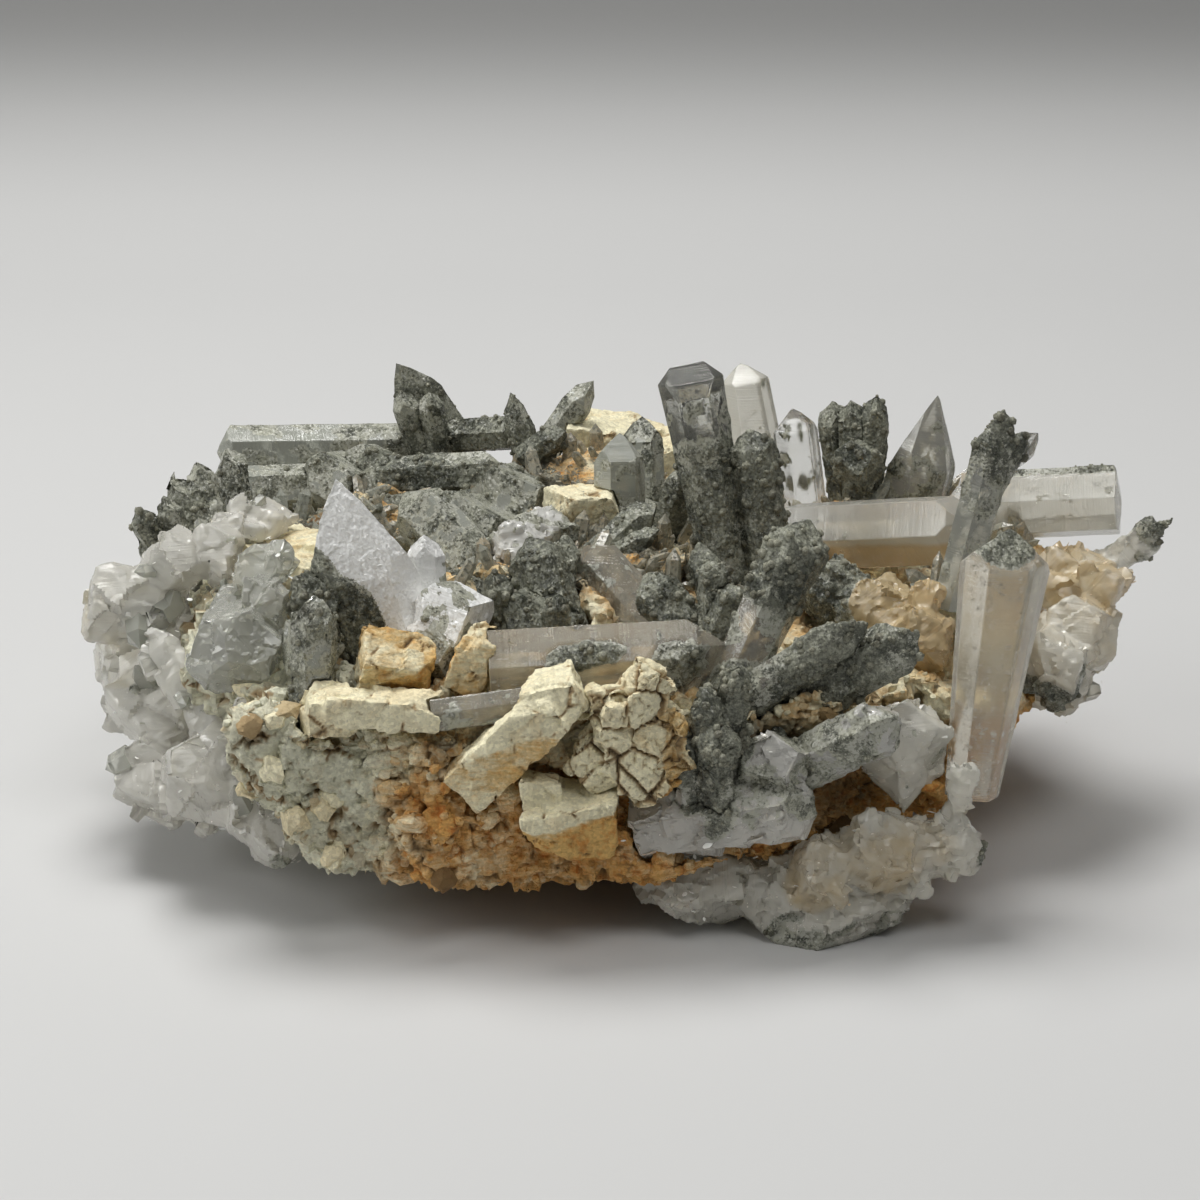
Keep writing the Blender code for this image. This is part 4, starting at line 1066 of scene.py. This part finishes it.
@dataclass
class FrontCrystals(Growth):
    """The wide crystal, the leaning one, the coated blades, and the quartz at the lower right."""

    crust: Weather = Weather(patch=4.0, grain=1.1, coat_depth=0.45, lump_depth=0.12, seed=4.0)
    broken: Weather = Weather(
        grain=1.0, coat_depth=0.3, lump=7.0, lump_depth=0.5, facet=5.5, facet_depth=0.8, chip_share=0.25, fine=1.0, fine_depth=0.06,
        seed=5.0,
    )
    layered: Weather = Weather(
        grain=1.0, coat_depth=0.3, lump=6.0, lump_depth=0.5, facet=4.4, facet_depth=0.9, chip_share=0.35, bend=0.6,
        layer_depth=0.22, fine=1.0, fine_depth=0.06, seed=5.5,
    )

    def members(self) -> list[Member]:
        """Returns the front quartz."""
        front = (
            Zone((-22, -34, 44), (18, -33, 46), 9.5, coat=(0.0, 0.15), milk=(0.35, 0.35), stain=(0.3, 0.15), inside=(0.3, 0.6)),
            Zone((-10, -41, 48), (-3, -41, 50), 3.5, coat=(1.6, 1.5), milk=(0.4, 0.4)),
            Zone((8, -41, 46), (16, -41, 44), 5, coat=(0.9, 1.0), milk=(0.4, 0.4)),
            Zone((16, -36, 40), (26, -28, 60), 7.5, coat=(0.35, 0.5), milk=(0.35, 0.3), inside=(0.8, 0.8)),
            Zone((25, -28, 59), (29, -26, 66), 8.5, coat=(1.4, 1.6)),
            Zone((14, -37, 36), (38, -38, 53), 6, coat=(0.95, 0.8), milk=(0.4, 0.4)),
            Zone((26, -34, 37), (46, -38, 51), 6.5, coat=(0.95, 0.6), milk=(0.4, 0.35)),
        )
        boulder = (
            Zone((2, -40, 19), (30, -46, 26), 9, coat=(-0.1, 0.2), milk=(0.85, 0.5)),
            Zone((20, -46, 27), (27, -46, 28), 5, coat=(0.75, 0.75), milk=(0.4, 0.4)),
            Zone((27, -41, 30), (43, -46, 40), 6.5, coat=(0.62, 0.35), milk=(0.1, 0.1), inside=(0.9, 0.9)),
            Zone((16, -43, 28), (17, -44, 47), 3.6, coat=(1.0, 0.9)),
            Zone((13, -45, 26), (12, -46, 44), 3.6, coat=(1.0, 0.9)),
            Zone((15, -45, 22), (14, -49, 39), 3.8, coat=(1.0, 0.9)),
            Zone((10, -44, 24), (9, -46, 37), 3.2, coat=(1.0, 0.9)),
        )
        lower = (
            Zone((53, -38, 17), (54, -41, 30), 3.2, coat=(0.1, 0.0), milk=(0.2, 0.1)),
            Zone((5, -37, 8), (18, -37, 8), 9, coat=(0.05, 0.0), milk=(0.7, 0.8), stain=(0.1, 0.2)),
            Zone((30, -47, 13), (33, -47, 17), 6, coat=(-0.3, -0.3), milk=(0.95, 0.95), stain=(0.6, 0.5)),
            Zone((42, -46, 14), (47, -45, 18), 6, milk=(0.5, 0.5), stain=(0.65, 0.5)),
            Zone((60, -40, 14), (61, -40, 15), 3.5, coat=(0.8, 0.8), milk=(0.4, 0.4)),
            Zone((26, -45, 2), (46, -42, 2), 3.5, coat=(0.45, 0.45), milk=(0.7, 0.7)),
        )
        return [
            Member("front_crystals", Slot.COATED, TAWNY, Look(0.8, 0.3), front, weather=self.crust),
            Member("small_broad_crystal", Slot.CLEAR, TAWNY, Look(0.25, 0.45, 0.1), weather=self.crust),
            Member("boulder_crystals", Slot.MILKY, ICE, Look(0.15, 0.5), boulder, weather=self.broken),
            Member("speckled_lump", Slot.MILKY, STAINED, Look(0.2, 0.55, 0.2), (), Skin.ROUGH, self.broken, 0.55),
            Member("lower_right_quartz", Slot.MILKY, STAINED, Look(-0.1, 0.65, 0.2), lower, Skin.ROUGH, self.layered, 0.5),
        ]


@dataclass
class RightCrystals(Growth):
    """The upright clear prism, the spear, the big blades and the stained quartz at the right end."""

    crust: Weather = Weather(grain=0.9, coat_depth=0.35, lump_depth=0.12, seed=6.0)
    thin: Weather = Weather(grain=0.7, coat_depth=0.15, lump_depth=0.12, seed=6.5)
    wall: Weather = Weather(patch=5.0, grain=1.0, coat_depth=0.4, facet=4.0, facet_depth=0.6, bend=1.0, seed=7.5)
    broken: Weather = Weather(
        facet=6.0, facet_depth=1.0, chip_share=0.25, pillow_depth=0.4, fine=1.0, fine_depth=0.08, coat_depth=0.3, seed=7.0,
    )

    def members(self) -> list[Member]:
        """Returns the quartz of the right end."""
        prism = (
            Zone(
                (56, -33, 21), (61, -29, 65.5), 9.5, coat=(0.0, -0.2), milk=(0.6, 0.25), stain=(0.35, 0.45),
                inside=(0.2, 0.8),
            ),
            Zone((60, -30, 64), (62, -29, 68), 5.5, coat=(1.6, 2.4)),
            Zone((62.5, -40, 34), (66, -38, 62), 2.6, coat=(1.1, 1.2)),
            Zone((53.5, -39, 40), (56, -37, 62), 2.6, coat=(1.2, 1.3)),
        )
        spear = (
            Zone((54, -12, 46), (60, -9.5, 72), 5.5, coat=(0.1, 0.4), milk=(0.45, 0.3), inside=(0.3, 0.9)),
            Zone((60, -9.5, 72), (61.5, -9, 79), 5.5, coat=(1.0, 1.2)),
            Zone((58.5, -11, 63), (65, -8, 74.5), 3, coat=(0.5, 0.8)),
        )
        blade = (
            Zone((30, 18, 50), (60, -1, 57), 8.5, coat=(0.2, -0.1), milk=(0.5, 0.5), inside=(0.5, 0.2)),
            Zone((34, 10, 43), (60, -6, 49), 6.5, coat=(0.0, 0.0), milk=(0.6, 0.6), stain=(1.6, 1.9)),
        )
        block = (
            Zone((60, 31, 49), (87, 26, 52), 9, coat=(0.05, 0.05), milk=(0.4, 0.3), stain=(0.3, 0.0), inside=(0.7, 0.5)),
            Zone((64, 30, 57), (88, 26, 59), 2.5, coat=(1.2, 1.3), milk=(0.3, 0.3)),
        )
        hook = (
            Zone((79, 21, 38), (91, 19, 48), 3.4, coat=(0.1, 0.3), milk=(0.05, 0.0)),
            Zone((91, 19, 49), (94, 18, 51), 3, coat=(0.9, 0.9)),
            Zone((72, -5, 31), (72, -7, 29), 5.5, coat=(0.6, 0.7), milk=(0.6, 0.6), stain=(0.2, 0.2)),
            Zone((77, 16, 43), (80, 10, 42), 8, milk=(0.55, 0.6), stain=(0.75, 0.7)),
        )
        wall = (
            Zone((44, -14, 49), (52, -20, 42), 7, coat=(0.0, 0.0), milk=(0.7, 0.7), stain=(1.2, 1.3)),
            Zone((34, -8, 49), (38, -9, 44), 6, coat=(0.7, 0.8), milk=(0.4, 0.4), stain=(0.3, 0.4)),
        )
        return [
            Member("clear_prism", Slot.CLEAR, PEACH, Look(0.1), prism, weather=self.crust),
            Member("spear_crystal", Slot.COATED, PALE, Look(0.4, 0.2), spear, weather=self.crust),
            Member("long_prism", Slot.CLEAR, CLOUDY, Look(0.1, 0.7), blade, weather=self.crust),
            Member("block_crystal", Slot.CLEAR, CLOUDY, Look(0.1, 0.6), block, weather=self.thin),
            Member(
                "right_stained_quartz", Slot.MILKY, STAINED, Look(0.0, 0.7, 0.35), hook, Skin.ROUGH, self.broken, 0.52, stubs=0.6,
            ),
            Member("right_coated_wall", Slot.COATED, STAINED, Look(0.5, 0.5, 0.4), wall, Skin.ROUGH, self.wall, 0.5),
        ]


@dataclass
class BackCrystals(Growth):
    """The long grey prisms at the back left, the spikes, and the clear crystals at the back right."""

    crust: Weather = Weather(grain=0.9, coat_depth=0.32, lump_depth=0.12, seed=8.0)
    thin: Weather = Weather(grain=0.7, coat_depth=0.16, lump_depth=0.12, seed=8.5)

    def members(self) -> list[Member]:
        """Returns the quartz along the back."""
        long_one = (Zone((-38, 59, 51), (-74, 51, 53), 6.5, coat=(0.5, 0.28), milk=(0.5, 0.55)),)
        near = (
            Zone((-38, 47, 48), (-75, 40, 49), 6.5, coat=(0.6, 0.42), milk=(0.45, 0.45)),
            Zone((-44, 43, 50.5), (-21, 40, 53), 5, coat=(0.8, 0.6), milk=(0.4, 0.4)),
        )
        spikes = (
            Zone((-28, 54, 48), (-41, 50, 70), 6, coat=(0.8, 0.42), milk=(0.35, 0.3)),
            Zone((-38, 53, 55), (-18, 47, 58), 4.2, coat=(0.85, 0.7)),
            Zone((-17, 49, 50), (-6, 52, 65.5), 3.6, coat=(0.7, 0.4), milk=(0.4, 0.4)),
        )
        pyramid = (Zone((51, 36, 45), (55, 35, 68.5), 8, coat=(0.6, 0.1), milk=(0.4, 0.1), inside=(0.8, 0.4)),)
        return [
            Member("back_left_long_prism", Slot.COATED, GREY, Look(0.4, 0.5), long_one, weather=self.thin),
            Member("back_left_near_prism", Slot.COATED, GREY, Look(0.6, 0.4), near, weather=self.crust),
            Member("back_blade_and_spikes", Slot.COATED, GREY, Look(0.85, 0.3), spikes, weather=self.thin),
            Member("back_dark_prism", Slot.COATED, GREY, Look(0.85), weather=self.crust),
            Member("back_pale_crystal", Slot.CLEAR, CLOUDY, Look(0.05, 0.6), weather=self.thin),
            Member("back_right_clear_crystal", Slot.CLEAR, CLEAR, Look(0.15, 0.3, 0.0, 0.5), weather=self.thin),
            Member("back_right_coated_tips", Slot.COATED, GREY, Look(0.85, 0.3), weather=self.crust),
            Member("back_right_pyramid", Slot.CLEAR, CLOUDY, Look(0.3, 0.2), pyramid, weather=self.thin),
            Member("back_right_blade", Slot.CLEAR, CLEAR, Look(0.05, 0.3), weather=self.thin),
        ]


@dataclass
class MiddleCrystals(Growth):
    """The tall smoky crystal with its companion, and the short coated crystals around it."""

    crust: Weather = Weather(patch=3.5, grain=0.95, coat_depth=0.42, lump_depth=0.12, seed=9.0)
    thin: Weather = Weather(patch=3.5, grain=0.7, coat_depth=0.2, lump_depth=0.12, seed=9.5)
    broken: Weather = Weather(facet=3.2, facet_depth=0.6, fine=1.0, fine_depth=0.1, coat_depth=0.25, seed=10.0)

    def members(self) -> list[Member]:
        """Returns the quartz in the middle."""
        tall = (
            Zone((19, -2, 38), (13.2, 2, 66), 7.4, coat=(0.6, 0.75), milk=(0.5, 0.45)),
            Zone((13.2, 2, 66), (11.8, 3, 72), 7.4, coat=(0.95, 0.4), milk=(0.35, 0.2), inside=(1.0, 1.0)),
            Zone((11.8, 3, 73), (10, 5, 83), 7.4, coat=(0.1, -0.1), milk=(0.1, 0.1), inside=(0.9, 0.5)),
            Zone((25.5, -3, 40), (20.5, 3, 72), 5.6, coat=(0.6, 0.95), milk=(0.5, 0.3)),
        )
        upright = (
            Zone((-1, 19, 42), (-1, 24, 65), 6, coat=(0.55, 0.2), milk=(0.55, 0.5)),
            Zone((4, 28, 44), (3, 34, 65), 5, coat=(0.6, 0.4), milk=(0.45, 0.4)),
            Zone((6, 19, 44), (11, 16, 62), 5, coat=(0.8, 0.7)),
        )
        left = (
            Zone((-26, 6, 47), (-38, 15, 57), 7, coat=(0.55, 0.4), milk=(0.5, 0.45)),
            Zone((-20, 25, 52), (-27, 16, 50), 7, coat=(0.5, 0.5), milk=(0.5, 0.5), stain=(0.1, 0.2)),
        )
        return [
            Member("tall_crystal_pair", Slot.COATED, SMOKY, Look(0.8), tall, weather=self.crust),
            Member("middle_tall_crystals", Slot.COATED, GREY, Look(0.8), upright, weather=self.thin),
            Member("middle_left_crystal", Slot.COATED, GREY, Look(0.6, 0.4), left, weather=self.thin),
            Member("middle_sugar_lumps", Slot.MILKY, MILKY, Look(0.38, 0.6), (), Skin.ROUGH, self.broken, 0.5, stubs=0.9),
            Member("front_coated_group", Slot.COATED, GREY, Look(0.85, 0.3), weather=self.crust),
            Member("brown_tinted_crystal", Slot.CLEAR, TAWNY, Look(0.2, 0.4, 0.3), weather=self.thin),
            Member("middle_needles", Slot.COATED, GREY, Look(0.75, 0.4), weather=self.thin),
            Member("sparkling_crystals", Slot.COATED, GREY, Look(0.85, 0.3), weather=self.crust),
            Member("rear_spire", Slot.COATED, GREY, Look(0.85), weather=self.thin),
        ]


@dataclass
class LeftQuartz(Growth):
    """The milky lumps, the clear crystal seen end on and the white fin at the left end."""

    crust: Weather = Weather(grain=0.9, coat_depth=0.3, facet=6.0, facet_depth=0.5, seed=11.0)
    broken: Weather = Weather(
        grain=1.0, coat_depth=0.25, facet=8.0, facet_depth=1.2, chip_share=0.2, pillow_depth=0.5, fine=2.0, fine_depth=0.1,
        seed=12.0,
    )
    sugary: Weather = Weather(
        patch=5.0, grain=0.9, coat_depth=0.2, facet=2.4, facet_depth=0.12, fine=0.8, fine_depth=0.07, seed=13.0,
    )

    def members(self) -> list[Member]:
        """Returns the quartz of the left end."""
        fin = (
            Zone((-41, -22, 62), (-46, -20, 71), 9, coat=(-0.4, -0.4), milk=(0.9, 1.2)),
            Zone((-35, -24, 50), (-38, -23, 57), 5, coat=(-0.3, -0.3), milk=(0.9, 1.0)),
            Zone((-45, -22, 37), (-47, -22, 51), 8.0, coat=(1.9, 1.0), milk=(0.7, 0.7)),
            Zone((-51, -22, 42), (-51, -22, 56), 4, coat=(1.5, 0.9), milk=(0.7, 0.7)),
            Zone((-31, -26, 44), (-29, -25, 52), 7, coat=(0.5, 0.3), milk=(0.55, 0.55)),
        )
        ball = (Zone((-62, -8, 43), (-64, -33, 44.5), 10, coat=(0.15, 0.0), milk=(0.5, 0.5)),)
        heap = (
            Zone((-66, -18, 22), (-80, -8, 41), 6, coat=(0.1, 0.0), milk=(0.35, 0.2)),
            Zone((-65, -28, 24), (-62, -34, 39), 2.4, coat=(0.0, 0.0), milk=(0.1, 0.1)),
            Zone((-76, -20, 14), (-60, -30, 18), 9, coat=(-0.3, -0.3), milk=(1.1, 1.1)),
            Zone((-90, 3, 38), (-86, 0, 32), 6, milk=(0.5, 0.5), stain=(0.45, 0.4)),
            Zone((-56, -34, 26), (-54, -33, 14), 6, coat=(0.6, 0.4), milk=(0.5, 0.6)),
        )
        return [
            Member("left_quartz", Slot.MILKY, ICE, Look(0.12, 0.5, 0.05), heap, Skin.ROUGH, self.broken, 0.5, stubs=0.72),
            Member("left_clear_crystal", Slot.CLEAR, PALE, Look(0.1, 0.5), ball, weather=self.crust),
            Member("fin_crystal", Slot.MILKY, WHITE, Look(0.1, 0.8), fin, weather=self.sugary, pitch=0.5),
            Member("left_rim_tips", Slot.COATED, GREY, Look(0.6, 0.4), weather=self.crust),
            Member("left_spike", Slot.COATED, GREY, Look(0.55, 0.45), weather=self.crust),
        ]


@dataclass(frozen=True)
class Strewn:
    """One kind of small growth: its piece, where it lies, its shape, sizes in millimetres and finish."""

    name: str
    mask: str
    shape: Callable[[GeometryTree], object]
    upright: bool
    per_mm2: float
    sizes: Pair
    finish: Chlorite | Quartz | Stone
    slot: Slot
    coat: float | None = None
    uneven: float = 0.0
    sunk: float = 0.0


@dataclass
class FineGrowth:
    """Chlorite beads, small crystals, grains inside clear crystals, and broken rock, strewn on the skins."""

    on_crystals: tuple[Strewn, ...] = (
        Strewn("chlorite_beads", "coat", bead, False, 0.3, (0.26, 0.95), CHLORITE, Slot.COATED, 1.0, 0.2),
        Strewn("inner_grains", "inside", flake, False, 0.9, (0.12, 0.4), CHLORITE, Slot.COATED, 1.0, 0.3, 4.0),
        Strewn("inner_veils", "wisps", wisp, False, 0.3, (0.12, 0.8), WISP, Slot.MILKY, 0.0, 0.4, 4.4),
        Strewn("quartz_stubs", "stubs", stub, True, 0.007, (1.5, 3.8), PALE, Slot.MILKY, 0.0, 0.25, 0.6),
    )
    on_rock: tuple[Strewn, ...] = (
        Strewn("rock_beads", "coat", bead, False, 0.3, (0.26, 0.9), CHLORITE, Slot.COATED, 1.0, 0.2),
        Strewn("small_crystals", "druse", point, True, 0.09, (0.45, 1.9), GREY, Slot.COATED, 0.45, 0.2),
        Strewn("rock_crumbs", "crumbs", crumb, False, 0.1, (0.25, 1.1), ROCK, Slot.ROCK, None, 0.3),
        Strewn("rock_chunks", "chunks", chunk, False, 0.016, (1.0, 2.6), ROCK, Slot.ROCK, None, 0.3, 1.6),
        Strewn("feldspar_blocks", "blocks", chunk, False, 0.03, (0.9, 2.8), FELDSPAR, Slot.FELDSPAR, None, 0.3, 1.6),
    )

    def build(self, library: Library, pieces: Sequence[bpy.types.Object]) -> None:
        """Strews each kind over the pieces that carry it.

        Args:
            library: the shared materials.
            pieces: the pieces that can carry them.
        """
        rock = [piece for piece in pieces if "druse" in piece.data.attributes]
        crystals = [piece for piece in pieces if piece not in rock]
        for hosts, kinds in ((crystals, self.on_crystals), (rock, self.on_rock)):
            for kind in kinds:
                self.strew(library, kind, hosts)

    def strew(self, library: Library, kind: Strewn, hosts: Sequence[bpy.types.Object]) -> None:
        """Strews one kind over some pieces, as one piece."""
        tree = scatter(kind.name, kind.mask, kind.shape, kind.upright, kind.coat, kind.uneven)
        inputs = {
            "Per Square Millimetre": kind.per_mm2, "Smallest": kind.sizes[0], "Largest": kind.sizes[1], "Seed": 3,
            "Sunk": kind.sunk, "Material": library.material(kind.finish),
        }
        carriers = [host for host in hosts if kind.mask in host.data.attributes]
        whole = joined([through(host.data.copy(), tree, inputs) for host in carriers])
        place(kind.name, whole, kind.slot)


def joined(meshes: Sequence[bpy.types.Mesh]) -> bpy.types.Mesh:
    """Returns the meshes as one, and removes them."""
    bm = bmesh.new()
    for mesh in meshes:
        bm.from_mesh(mesh)
    whole = bpy.data.meshes.new("whole")
    bm.to_mesh(whole)
    bm.free()
    for material in meshes[0].materials:
        whole.materials.append(material)
    for mesh in meshes:
        bpy.data.meshes.remove(mesh)
    return whole


@dataclass
class Studio:
    """The pale sweep that the cluster stands on, the soft lights and the camera."""

    target: Point = (-5.65, -4.59, 43.0)
    distance: float = 600.0
    elevation: float = 20.0
    half_view: float = 9.6
    half_width: float = 2500.0
    front: float = -1500.0
    bend: float = 360.0
    radius: float = 420.0
    wall: float = 1400.0
    floor: Colour = (0.6, 0.6, 0.597)
    wall_colour: Colour = (0.225, 0.225, 0.222)

    def build(self) -> None:
        """Builds the sweep, the lights and the camera."""
        self.sweep()
        self.lights()
        self.camera()

    def sweep(self) -> None:
        """Builds the floor, which curves up behind into a wall, with painted shade that darkens the wall."""
        turns = [math.radians(9 * step) for step in range(11)]
        profile = [(self.front, 0.0)]
        profile += [(self.bend + self.radius * math.sin(a), self.radius * (1 - math.cos(a))) for a in turns]
        profile += [(self.bend + self.radius, self.wall)]
        bm = bmesh.new()
        rows = [
            [bm.verts.new((side * self.half_width * MM, y * MM, z * MM)) for side in (-1, 1)] for y, z in profile
        ]
        for low, high in zip(rows, rows[1:]):
            bm.faces.new((low[0], low[1], high[1], high[0])).smooth = True
        mesh = bpy.data.meshes.new("sweep")
        bm.to_mesh(mesh)
        bm.free()
        tree = MaterialTree("sweep_paper")
        grain = tree.noise(tree.place, 30.0, 4.0)
        colour = tree.colour(tree.math("MULTIPLY", grain, 0.12), self.floor, (0.55, 0.55, 0.55))
        height = tree.add("ShaderNodeSeparateXYZ", {0: tree.place}).outputs[2]
        # Painted shade: the sweep turns darker as it rises from the floor into the wall.
        colour = tree.colour(tree.step(height, 0.0, 45.0), colour, self.wall_colour)
        mesh.materials.append(tree.finish({"Base Color": colour, "Roughness": 0.8}))
        sweep = bpy.data.objects.new("sweep", mesh)
        bpy.context.scene.collection.objects.link(sweep)

    def lights(self) -> None:
        """Sets a broad light above and behind, a softer one in front, and an even surround."""
        self.lamp("overhead", (-150, 220, 950), (550, 420), 7.7, (1.0, 0.995, 0.98))
        self.lamp("front_fill", (220, -450, 900), (500, 380), 2.4, (1.0, 1.0, 0.99))
        self.lamp("left_window", (-900, -150, 420), (450, 400), 3.3, (1.0, 1.0, 0.985))
        world = bpy.data.worlds.new("surround")
        world.use_nodes = True
        world.node_tree.nodes["Background"].inputs["Color"].default_value = (0.93, 0.935, 0.93, 1.0)
        world.node_tree.nodes["Background"].inputs["Strength"].default_value = 0.1
        bpy.context.scene.world = world

    def lamp(self, name: str, at: Point, size: Pair, power: float, colour: Colour) -> None:
        """Adds one soft rectangular light that faces the cluster."""
        data = bpy.data.lights.new(name, "AREA")
        data.shape = "RECTANGLE"
        data.size, data.size_y = size[0] * MM, size[1] * MM
        data.energy = power
        data.color = colour
        light = bpy.data.objects.new(name, data)
        light.location = Vector(at) * MM
        light.rotation_euler = (Vector(self.target) - Vector(at)).to_track_quat("-Z", "Y").to_euler()
        bpy.context.scene.collection.objects.link(light)

    def camera(self) -> None:
        """Sets the camera at the photograph's angle."""
        data = bpy.data.cameras.new("camera")
        data.sensor_width = 36.0
        data.lens = 18.0 / math.tan(math.radians(self.half_view))
        data.clip_start, data.clip_end = 0.01, 20.0
        camera = bpy.data.objects.new("camera", data)
        rise = math.radians(self.elevation)
        back = Vector((0.0, -math.cos(rise), math.sin(rise))) * self.distance
        camera.location = (Vector(self.target) + back) * MM
        camera.rotation_euler = (-back).to_track_quat("-Z", "Y").to_euler()
        bpy.context.scene.collection.objects.link(camera)
        bpy.context.scene.camera = camera


def main() -> None:
    """Builds the pieces in order, then the studio."""
    logging.basicConfig(level=logging.INFO, format="%(name)s %(message)s")
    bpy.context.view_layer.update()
    bpy.context.scene.view_settings.view_transform = "Standard"
    library = Library()
    pieces: list[bpy.types.Object] = []
    for growth in (
        HostRock(), Feldspar(), FrontCrystals(), RightCrystals(), BackCrystals(), MiddleCrystals(), LeftQuartz(),
    ):
        pieces += growth.build(library)
    FineGrowth().build(library, pieces)
    Studio().build()


if __name__ == "__main__":
    main()
